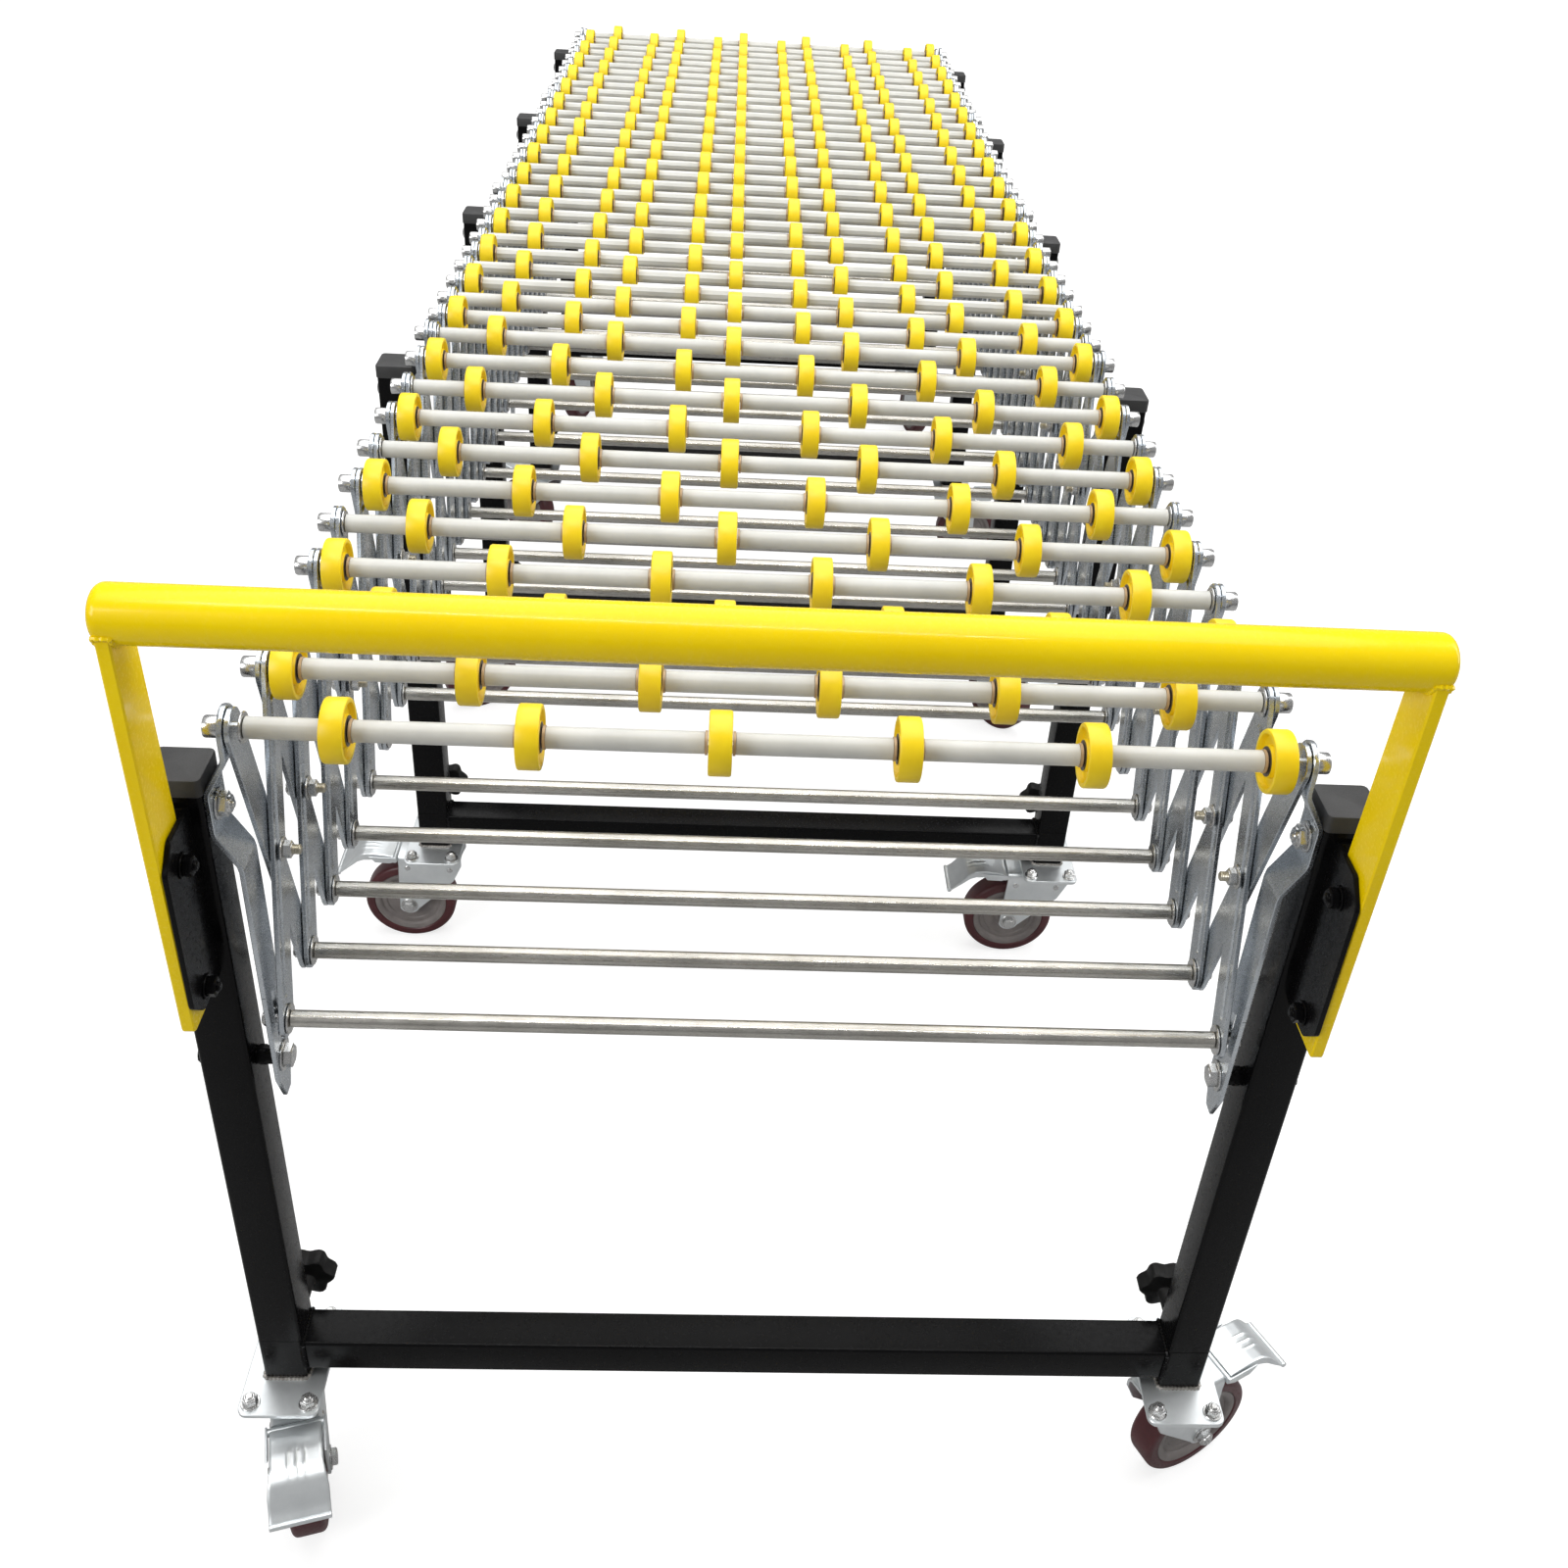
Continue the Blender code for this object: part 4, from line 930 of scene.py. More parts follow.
@dataclass
class WheelRows(Assembly):
    """Skate wheels on their axles, with the sleeves, the tan collars (partly real brownish rings,
    partly a painted reflection of the yellow wheels on the sleeves) and the cap nuts of each row.

    A wheel's profiles hold pairs of depth behind its face and radius. The detailed one gives the edges
    and the rim's lip their own rings.
    """

    wheels: int = 6
    pitch: float = 0.135
    stagger: float = 0.027
    half_width: float = 0.0085
    sleeve_radius: float = 0.0082
    collar_radius: float = 0.0089
    collar_width: float = 0.0022
    sleeve_soft: float = 0.0004
    bearing_bore: float = 0.0078
    bearing_radius: float = 0.0112
    running_gap: float = 0.0004
    end_gap: float = 0.0025
    inner_washer: Pair = (0.0118, 0.0016)
    inner_offset: float = 0.0020
    outer_washer: Pair = (0.0100, 0.0010)
    cap_offset: float = 0.0014
    shank_span: Pair = (-0.0150, 0.0016)
    detailed_rows: int = 13
    detailed_profile: tuple[Pair, ...] = (
        (0.001, 0.0084), (0.001, 0.0118), (0.0045, 0.0126), (0.0045, 0.0196),
        (0.0003, 0.0205), (0.0, 0.0222), (0.0004, 0.0235), (0.0015, 0.024),
    )
    plain_profile: tuple[Pair, ...] = (
        (0.001, 0.0084), (0.003, 0.0120), (0.003, 0.0196), (0.0, 0.0224), (0.0014, 0.024),
    )

    def build(self) -> None:
        """Builds every row, the near ones with more sides."""
        for row in range(1, self.bed.rows + 1):
            place = Matrix.Translation((0.0, self.bed.y(row), self.bed.axle_height))
            shift = self.stagger if row % 2 else -self.stagger
            first = (self.wheels - 1) / 2.0
            middles = [shift + (index - first) * self.pitch for index in range(self.wheels)]
            self._wheels(row, place, middles)
            self._sleeves(row, place, middles)
            self._ends(row)
        LOG.info("wheel rows built")

    def _wheels(self, row: int, place: Matrix, middles: list[float]) -> None:
        """Builds one row's wheels, each with a deep recess, a hub and a dark bearing.

        Args:
            row: The row's number.
            place: The middle of its axle.
            middles: Where its wheels are across the bed.
        """
        near = row <= self.detailed_rows
        profile = self.detailed_profile if near else self.plain_profile
        face = [(-self.half_width + depth, radius) for depth, radius in profile]
        reach = self.half_width - self.running_gap
        ring = both_ways([(-reach, self.bearing_bore), (-reach, self.bearing_radius)])
        wheel = lathe(both_ways(face), 40 if near else 16, closes=True).at_each(middles)
        bearing = lathe(ring, 20 if near else 12, closes=True).at_each(middles)
        body = self.bed.wheel_body(row)
        stand = [body] if row <= self.bed.loose_rows else []
        self.bench.add("skate_wheels", body, Finishes.WHEEL_YELLOW, wheel.moved(place), stand)
        self.bench.add("wheel_bearings", body, Finishes.BEARING, bearing.moved(place))

    def _sleeves(self, row: int, place: Matrix, middles: list[float]) -> None:
        """Builds the spacer sleeves between the wheels, with a tan collar at every wheel; its tan is
        partly a real brownish ring and partly a painted reflection of the yellow wheel on the sleeve.

        Args:
            row: The row's number.
            place: The middle of its axle.
            middles: Where its wheels are across the bed.
        """
        near = row <= self.detailed_rows
        shortest, narrow = 0.001, 0.008
        edge = self.half_width + self.running_gap
        reach = self.bed.inner_face - self.end_gap
        gap, radius = self.parts.clearance, self.collar_radius
        stops = [-reach, *[x + sign * edge for x in middles for sign in SIDES], reach]
        sleeves, collars = [], []
        for start, end in zip(stops[::2], stops[1::2]):
            collar = self.collar_width if end - start > narrow else 0.0
            at_start, at_end = start > -reach, end < reach
            first, last = start + collar * at_start, end - collar * at_end
            if last - first > shortest:
                size = (self.sleeve_radius, self.sleeve_soft)
                sleeves.append(soft_rod(first, last, *size, 20 if near else 10))
            for low, wanted in ((start, at_start), (end - collar, at_end)):
                if wanted and collar:
                    ring = [(low + gap, radius), (low + collar - gap, radius)]
                    collars.append(lathe(ring, 16 if near else 8))
        body = self.bed.wheel_body(row)
        # The tan collars carry a painted reflection of the yellow wheels, besides a real brownish ring.
        for group, finish, shapes in (
            ("axle_sleeves", Finishes.SLEEVE_GREY, sleeves),
            ("wheel_collars_and_painted_reflection", Finishes.TAN_COLLAR_AND_REFLECTION, collars),
        ):
            self.bench.add(group, body, finish, [shape.moved(place) for shape in shapes])

    def _ends(self, row: int) -> None:
        """Builds the washers inside the links and the cap nuts outside them.

        Args:
            row: The row's number.
        """
        bed, parts = self.bed, self.parts
        seat = bed.outer_seat(row)
        seated = (
            (bed.inner_face - self.inner_offset, parts.washer(*self.inner_washer)),
            (seat + parts.seat_gap, parts.washer(*self.outer_washer)),
            (seat + self.cap_offset, parts.cap_nut()),
            (seat, parts.shank(*self.shank_span)),
        )
        for side in SIDES:
            placed = [part.moved(on_side(side, x, bed.y(row), bed.axle_height)) for x, part in seated]
            self.bench.add("axle_fasteners", bed.axle_body(row), Finishes.FASTENER, placed)


@dataclass
class ScissorLinks(Assembly):
    """The crossing side links with their stamped ribs and middle bolts."""

    width: float = 0.030
    rib_width: float = 0.0155
    rib_slope: float = 0.0016
    rib_height: float = 0.0013
    rib_end: float = 0.026
    bevel: float = 0.0005
    low_head: Pair = (0.0050, 0.0024)
    bolt_head: Pair = (0.0120, 0.0034)
    bolt_nut: tuple[float, ...] = (0.0125, 0.0062, 0.0100, 0.0014)
    bolt_end: float = 0.0145

    def link(self, start: Pair, end: Pair, rib: float) -> Shape:
        """A link in YZ with its rib on the far face.

        Six rings carry it: the inset outline, the outline, the outline again below the top, the inset
        outline at the top, the foot of the rib and its crest. All are bars with round ends.

        Args:
            start: The first pivot, as (y, z).
            end: The second pivot.
            rib: How high the rib stands over the top face.

        Returns:
            The link, with its lower face at x = 0.
        """
        first, last = np.array(start), np.array(end)
        inward = unit(last - first) * self.rib_end
        thick = self.bed.link_thickness
        whole = stadium(first, last, self.width / 2.0)
        small = stadium(first, last, self.width / 2.0 - self.bevel)
        levels = [(small, 0.0), (whole, self.bevel), (whole, thick - self.bevel), (small, thick)]
        if rib > 0.0:
            near, far, crest = first + inward, last - inward, self.rib_width / 2.0
            levels.append((stadium(near, far, crest), thick))
            levels.append((stadium(near, far, crest - self.rib_slope), thick + rib))
        return loft(at_levels(levels, axis=0))

    def build(self) -> None:
        """Builds both links of every cell on both sides, and the bolts where they cross."""
        bed = self.bed
        for cell in range(1, bed.rows):
            near, far = bed.y(cell), bed.y(cell + 1)
            top, low = bed.axle_height, bed.low_pivot(cell)
            slides = cell == bed.front_cells + 1
            falling = self.link((near, top), (far, low), 0.0 if self._by_leg(cell) else self.rib_height)
            rising = self.link((near, low), (far, top), 0.0 if slides else self.rib_height)
            self._add_pair(cell, "a", falling, bed.outer_face, faces_in=False)
            self._add_pair(cell, "b", rising, bed.inner_face, faces_in=True)
            self._bolt(cell, (near + far) / 2.0, (top + low) / 2.0)
        LOG.info("side links built")

    def _add_pair(self, cell: int, letter: str, shape: Shape, face: float, faces_in: bool) -> None:
        """Adds a cell's left and right link, each with its rib towards or away from the bed's middle.

        Mirroring turns a surface inside out, so the faces are turned back.

        Args:
            cell: The cell's number.
            letter: a for the falling links and b for the rising ones.
            shape: The link, with its lower face at x = 0.
            face: How far its inner face is from the middle of the bed.
            faces_in: Whether the rib faces the middle.
        """
        body = self.bed.link_body(cell, letter)
        stand = ["rear_bed_a", "rear_bed_b"] if body == REAR else [body]
        thick = self.bed.link_thickness
        for side in SIDES:
            points = shape.points.copy()
            if (side > 0) == faces_in:
                points[:, 0] = thick - points[:, 0]
            points[:, 0] += low_face(side, face, thick)
            placed = Shape(points, shape.faces).outward()
            self.bench.add("side_links", body, Finishes.ZINC, placed, stand)

    def _by_leg(self, cell: int) -> bool:
        """Whether one of a cell's two rows carries a leg frame, whose bracket passes close by."""
        return cell in self.bed.leg_rows or cell + 1 in self.bed.leg_rows

    def _bolt(self, cell: int, y: float, z: float) -> None:
        """The bolt where two links cross: a nut and thread inside, and a head outside, low by a leg.

        Args:
            cell: The cell's number.
            y: Where the links cross along the bed.
            z: How high they cross.
        """
        bed, parts = self.bed, self.parts
        body = bed.link_body(cell, "b")
        outside = bed.outer_face + bed.link_thickness + parts.seat_gap
        head = parts.dome(*self.low_head)
        if not self._by_leg(cell):
            outside += self.rib_height
            head = parts.hex_head(*self.bolt_head)
        nut = parts.washed_nut(*self.bolt_nut)
        stud = parts.stud(self.bolt_end, parts.shank_radius)
        for side in SIDES:
            inner = on_side(-side, -(bed.inner_face - self.rib_height - parts.clearance), y, z)
            outer = on_side(side, outside, y, z)
            self.bench.add("link_bolts", body, Finishes.FASTENER, [nut.moved(inner), head.moved(outer)])
            self.bench.add("link_bolt_threads", body, Finishes.YELLOW_FASTENER, stud.moved(inner))


@dataclass
class BottomRods(Assembly):
    """The bare rods that tie the two sides together below the wheels."""

    radius: float = 0.007
    soft: float = 0.0006
    end_gap: float = 0.0022
    inner_washer: Pair = (0.0125, 0.0014)
    inner_offset: float = 0.0018
    outer_nut: tuple[float, ...] = (0.0118, 0.0052, 0.0098, 0.0012)
    shank_span: Pair = (-0.0140, 0.0010)
    detailed_rows: int = 11

    def build(self) -> None:
        """Builds every rod with its washers and outer nuts."""
        bed, parts = self.bed, self.parts
        for row in range(1, bed.rows + 1):
            y, z = bed.y(row), bed.low_pivot(max(1, row - 1))
            body = bed.rod_body(row)
            reach = bed.inner_face - self.end_gap
            steps = 24 if row <= self.detailed_rows else 12
            rod = soft_rod(-reach, reach, self.radius, self.soft, steps).shifted(0.0, y, z)
            self.bench.add("bottom_rods", body, Finishes.BARE_STEEL, rod)
            seat = bed.outer_seat(row)
            seated = (
                (bed.inner_face - self.inner_offset, parts.washer(*self.inner_washer, 24)),
                (seat + parts.seat_gap, parts.washed_nut(*self.outer_nut)),
                (seat, parts.shank(*self.shank_span, 10)),
            )
            for side in SIDES:
                placed = [part.moved(on_side(side, x, y, z)) for x, part in seated]
                self.bench.add("rod_fasteners", body, Finishes.FASTENER, placed)
        LOG.info("bottom rods built")


@dataclass
class UpperLegs(Assembly):
    """The upper leg tubes with their caps, zinc brackets and clamping knobs.

    The bracket's bends are pairs of how far the strip has moved out to the tube, as a share, and its
    height, from the row's axle. The knob's rings are distance behind the tube, radius and lobe.
    """

    top_drop: float = 0.036
    cap_over: float = 0.0012
    cap_skirt: float = 0.012
    cap_height: float = 0.003
    cap_soft: float = 0.0005
    tube_bevel: float = 0.0004
    knob_height: float = 0.231
    knob_x: float = 0.4143
    knob_gap: float = 0.0003
    knob_lobes: int = 6
    knob_sides: int = 48
    bracket_width: float = 0.034
    bracket_bevel: float = 0.0006
    upper_bolt: float = -0.0675
    lower_bolt: float = -0.322
    slot_low: float = -0.2937
    slot_high: float = -0.2500
    slot_radius: float = 0.0046
    tail_points: int = 24
    upper_nut: float = 0.0170
    upper_head: Pair = (0.0092, 0.0048)
    lower_head: Pair = (0.0175, 0.0066)
    lower_nut: Pair = (0.0150, 0.0060)
    spacer_radius: float = 0.0078
    spacer_nut: Pair = (0.0150, 0.0070)
    spacer_nut_reach: float = 0.0078
    tail_corners: tuple[Pair, ...] = (
        (-0.017, -0.244), (-0.017, -0.335), (-0.006, -0.362),
        (0.006, -0.362), (0.017, -0.335), (0.017, -0.244),
    )
    knob_rings: tuple[Triple, ...] = (
        (0.0018, 0.0062, 0.0), (0.0024, 0.0067, 0.0), (0.0170, 0.0067, 0.0), (0.0195, 0.0082, 0.0),
        (0.0209, 0.0120, 0.0004), (0.0211, 0.0180, 0.0016), (0.0219, 0.0213, 0.0024),
        (0.0236, 0.0222, 0.0027), (0.0362, 0.0222, 0.0027), (0.0379, 0.0213, 0.0024),
        (0.0388, 0.0180, 0.0016), (0.0389, 0.0090, 0.0004),
    )

    def build(self) -> None:
        """Builds both upper legs of every frame."""
        for leg, row in enumerate(self.bed.leg_rows, 1):
            for side in SIDES:
                y = self.bed.y(row)
                self._tube(leg, side, y)
                self._bracket(leg, side, y)
                self._bracket_bolts(leg, side, y)
                self._knob(leg, side, y)
        LOG.info("upper legs built")

    def _tube(self, leg: int, side: int, y: float) -> None:
        """Builds a tube with rounded corners, and the cap over its top.

        Args:
            leg: The leg frame's number.
            side: -1 for the left leg and 1 for the right one.
            y: Where the leg is along the bed.
        """
        bed, body = self.bed, self.bed.leg_body(leg)
        x, top = side * bed.tube_middle, bed.axle_height - self.top_drop
        stand = [f"leg_head_{SIDE_NAMES[side]}"] if leg == 1 else []
        tube = plate(bed.tube_section, top - bed.seam, self.tube_bevel).shifted(x, y, bed.seam)
        self.bench.add("upper_tubes", body, Finishes.BLACK_COAT, tube, stand)
        wide = bed.tube_side + 2.0 * self.cap_over
        rim = rounded_box(wide, wide, bed.tube_corner + self.cap_over, 4)
        small, crown = inset(rim, self.cap_soft), inset(rim, 0.0017)
        low, high = top - self.cap_skirt, top + self.cap_height
        levels = [
            (small, low), (rim, low + self.cap_soft), (rim, high - 0.0014),
            (small, high - 0.0004), (crown, high),
        ]
        rings = at_levels([(ring + (x, y), z) for ring, z in levels])
        self.bench.add("tube_caps", body, Finishes.BLACK_PLASTIC, loft(rings))

    def _bracket(self, leg: int, side: int, y: float) -> None:
        """Builds the bent zinc bracket: a round head, a seat on the tube and a slotted, pointed tail.

        Args:
            leg: The leg frame's number.
            side: -1 for the left leg and 1 for the right one.
            y: Where the leg is along the bed.
        """
        bed = self.bed
        thick, half = bed.bracket_thickness, self.bracket_width / 2.0
        plane, seat = bed.bracket_face + thick / 2.0, bed.tube_face - thick / 2.0
        turns = np.radians([86.0, 72.0, 54.0, 36.0, 18.0, 0.0])
        head = [(plane, half * math.sin(turn)) for turn in turns]
        head_width = [2.0 * half * math.cos(turn) for turn in turns]
        bends = [
            (plane, -0.017), (plane + 0.001, -0.022), (seat - 0.001, -0.047), (seat, -0.052),
            (seat, -0.083), (seat - 0.001, -0.088), (plane + 0.001, -0.113), (plane, -0.119),
            (plane, -0.2445),
        ]
        width = np.array(head_width + [self.bracket_width] * len(bends))
        strip = bent_strip(np.array(head + bends), width, thick, self.bracket_bevel)
        outer = self._evenly(np.array(self.tail_corners), self.tail_points)
        ends = np.array([[0.0, self.slot_low], [0.0, self.slot_high]])
        slot = self._facing(stadium(*ends, self.slot_radius), outer)
        tail = plate(outer, thick, self.bracket_bevel, slot)
        placed = [
            strip.moved(on_side(side, 0.0, y, bed.axle_height)),
            tail.moved(upright(side * plane - thick / 2.0, y, bed.axle_height)),
        ]
        self.bench.add("leg_brackets", bed.leg_body(leg), Finishes.ZINC, placed)

    def _bracket_bolts(self, leg: int, side: int, y: float) -> None:
        """Builds the two bolts that hold a bracket, and the black spacer of the lower one.

        Args:
            leg: The leg frame's number.
            side: -1 for the left leg and 1 for the right one.
            y: Where the leg is along the bed.
        """
        bed, parts, body = self.bed, self.parts, self.bed.leg_body(leg)
        thick, touch = bed.bracket_thickness, parts.clearance
        high, low = bed.axle_height + self.upper_bolt, bed.axle_height + self.lower_bolt
        gap = bed.tube_face - bed.bracket_face - thick
        sleeve = lathe([(0.0, self.spacer_radius), (gap, self.spacer_radius)], 16)
        nut = parts.hex_nut(*self.spacer_nut).shifted(gap - self.spacer_nut_reach)
        upper = on_side(-side, -(bed.tube_face - thick - touch), y, high)
        lower = on_side(-side, -(bed.bracket_face - touch), y, low)
        through = on_side(side, bed.tube_outer + parts.seat_gap, y, high)
        between = on_side(side, bed.bracket_face + thick, y, low)
        beyond = on_side(side, bed.tube_outer + touch, y, low)
        bolts = [
            parts.lock_nut(self.upper_nut).moved(upper),
            parts.hex_head(*self.lower_head).moved(lower),
            parts.dome(*self.upper_head).moved(through),
        ]
        far_nut = parts.hex_nut(*self.lower_nut).moved(beyond)
        spacers = [joined([sleeve, nut]).moved(between), far_nut]
        self.bench.add("bracket_bolts", body, Finishes.FASTENER, bolts)
        self.bench.add("black_spacers", body, Finishes.BLACK_COAT, spacers)

    def _evenly(self, corners: Array, count: int) -> Array:
        """An outline's corners, with even steps between them.

        Args:
            corners: The corners, in order.
            count: The most points to give.

        Returns:
            Points on the outline, as (count or fewer, 2).
        """
        nearest = 0.45
        closed = ring_closed(corners)
        length = lengths_along(closed)
        even = np.linspace(0.0, length[-1], count, endpoint=False)
        apart = np.abs(even[:, None] - length[None, :-1]).min(axis=1)
        at = np.sort(np.concatenate([length[:-1], even[apart > length[-1] / count * nearest]]))
        if len(at) > count:
            at = at[np.linspace(0, len(at) - 1, count).round().astype(int)]
        return walked(closed, at)

    def _facing(self, outline: Array, match: Array) -> Array:
        """Points of an outline that lie in the same directions from its middle as given points.

        Args:
            outline: The corners, in order.
            match: The points whose directions are followed.

        Returns:
            As many points as match has.
        """
        closed = ring_closed(outline)
        ring = walked(closed, np.linspace(0.0, lengths_along(closed)[-1], 720, endpoint=False))
        middle = (outline.min(axis=0) + outline.max(axis=0)) / 2.0
        found, wanted = (np.arctan2(*(points - middle).T[::-1]) for points in (ring, match))
        gap = np.abs(np.angle(np.exp(1j * (wanted[:, None] - found[None, :]))))
        return ring[gap.argmin(axis=1)]

    def _knob(self, leg: int, side: int, y: float) -> None:
        """Builds the six-lobed knob behind the tube: r = radius + lobe x cos 6t, on a round neck.

        Args:
            leg: The leg frame's number.
            side: -1 for the left leg and 1 for the right one.
            y: Where the leg is along the bed.
        """
        angle = np.arange(self.knob_sides) * 2.0 * np.pi / self.knob_sides
        back, radius, lobe = np.array(self.knob_rings).T[:, :, None]
        knob = turned_surface(back, radius + lobe * np.cos(self.knob_lobes * angle), angle)
        stud = lathe([(0.0, 0.0036), (0.0004, 0.0040), (0.0020, 0.0040), (0.0022, 0.0036)], 16)
        rear_face = y + self.bed.tube_side / 2.0 + self.knob_gap
        at = Matrix.Translation((side * self.knob_x, rear_face, self.knob_height))
        place = at @ Matrix.Rotation(QUARTER, 4, "Z")
        body = f"star_knob_{SIDE_NAMES[side]}" if leg == 1 else REAR
        stand = [body] if leg == 1 else []
        self.bench.add("star_knobs", body, Finishes.KNOB_BLACK, knob.moved(place), stand)
        self.bench.add("knob_studs", body, Finishes.FASTENER, stud.moved(place))


@dataclass
class PushHandle(Assembly):
    """The yellow bar on two flat arms, and the black angles that hold the arms.

    The corners of the arm and of the angle's web are (y, z), from row 1's axle.
    """

    body: str = "leg_head"
    bar_radius: float = 0.020
    bar_soft: float = 0.007
    half_length: float = 0.4335
    forward: float = 0.062
    rise: float = 0.126
    arm_inner: float = 0.4198
    arm_thickness: float = 0.010
    angle_thickness: float = 0.004
    touch: float = 0.0003
    bolt_forward: float = 0.050
    bolt_drops: Pair = (0.085, 0.200)
    bolt_head: Pair = (0.0092, 0.0050)
    bolt_nut: tuple[float, ...] = (0.0140, 0.0066, 0.0098, 0.0014)
    bolt_end: Pair = (0.0108, 0.0037)
    arm_soft: Pair = (0.004, 0.0012)
    web_soft: Pair = (0.003, 0.0007)
    seat_soft: Pair = (0.003, 0.0006)
    weld: Pair = (0.0021, 0.0038)
    seat_height: float = 0.159
    seat_drop: float = 0.135
    weld_reach: float = 0.0185
    arm: tuple[Pair, ...] = ((-0.074, -0.225), (-0.026, -0.225), (-0.043, 0.130), (-0.081, 0.130))
    web: tuple[Pair, ...] = (
        (-0.078, -0.197), (-0.060, -0.215), (-0.0195, -0.215),
        (-0.0195, -0.055), (-0.060, -0.055), (-0.078, -0.073),
    )

    def build(self) -> None:
        """Builds the bar, its arms, the angles and their bolts."""
        y, z = self.bed.y(1), self.bed.axle_height
        soft, length, radius = self.bar_soft, self.half_length, self.bar_radius
        turn = np.radians(np.linspace(80.0, 0.0, 7))
        end = [(length - soft + soft * math.sin(t), radius - soft + soft * math.cos(t)) for t in turn]
        bar = lathe(both_ways(end), 40).shifted(0.0, y - self.forward, z + self.rise)
        self.bench.add("handle_bar", self.body, Finishes.YELLOW_COAT, bar, ["push_handle"])
        for side in SIDES:
            low = low_face(side, self.arm_inner, self.arm_thickness)
            corner, bevel = self.arm_soft
            flat = plate(softened(np.array(self.arm), corner), self.arm_thickness, bevel)
            shapes = [flat.moved(upright(low, y, z)), self._arm_weld(low).shifted(0.0, y, z)]
            self.bench.add("handle_arms", self.body, Finishes.YELLOW_COAT, shapes)
            self._angle(side, y, z)
            self._bolts(side, y, z)
        LOG.info("push handle built")

    def _arm_weld(self, low: float) -> Shape:
        """The weld round an arm's top, which follows the bar: z = rise - sqrt(r^2 - (y + forward)^2).

        Args:
            low: The x of the arm's face on the -X side.

        Returns:
            The bead, about row 1's axle.
        """
        across = np.linspace(-self.weld_reach, self.weld_reach, 11)
        under = self.rise - np.sqrt(self.bar_radius**2 - across**2)
        near = np.column_stack([np.full(len(across), low), across - self.forward, under])
        far = near[::-1] + (self.arm_thickness, 0.0, 0.0)
        return weld_bead(np.concatenate([near, far]), *self.weld)

    def _angle(self, side: int, y: float, z: float) -> None:
        """Builds one black angle: a web beside the arm, and a seat on the tube's front.

        Args:
            side: -1 for the left arm and 1 for the right one.
            y: Row 1's axle along the bed.
            z: How high that axle is.
        """
        bed, thick, touch = self.bed, self.angle_thickness, self.touch
        inner = self.arm_inner - touch - thick
        web = plate(softened(np.array(self.web), self.web_soft[0]), thick, self.web_soft[1])
        width = bed.tube_outer - inner - 2.0 * touch
        corner, bevel = self.seat_soft
        seat = plate(rounded_box(width, self.seat_height, corner), thick, bevel)
        front = (side * (inner + touch + width / 2.0), y - bed.tube_side / 2.0, z - self.seat_drop)
        shapes = [
            web.moved(upright(low_face(side, inner, thick), y, z)),
            seat.moved(Matrix.Translation(front) @ Matrix.Rotation(QUARTER, 4, "X")),
        ]
        self.bench.add("handle_angles", self.body, Finishes.BLACK_COAT, shapes)

    def _bolts(self, side: int, y: float, z: float) -> None:
        """Builds the carriage bolts through one arm and its angle, with their nuts.

        Args:
            side: -1 for the left arm and 1 for the right one.
            y: Row 1's axle along the bed.
            z: How high that axle is.
        """
        parts = self.parts
        inner = self.arm_inner - self.touch - self.angle_thickness - parts.clearance
        outer = self.arm_inner + self.arm_thickness + parts.clearance
        nut, stud = parts.washed_nut(*self.bolt_nut), parts.stud(*self.bolt_end)
        for drop in self.bolt_drops:
            at = (y - self.bolt_forward, z - drop)
            dome = parts.dome(*self.bolt_head).moved(on_side(side, outer, *at))
            ends = [part.moved(on_side(-side, -inner, *at)) for part in (nut, stud)]
            self.bench.add("handle_bolts", self.body, Finishes.FASTENER, dome)
            self.bench.add("handle_nuts", self.body, Finishes.BLACK_COAT, ends)


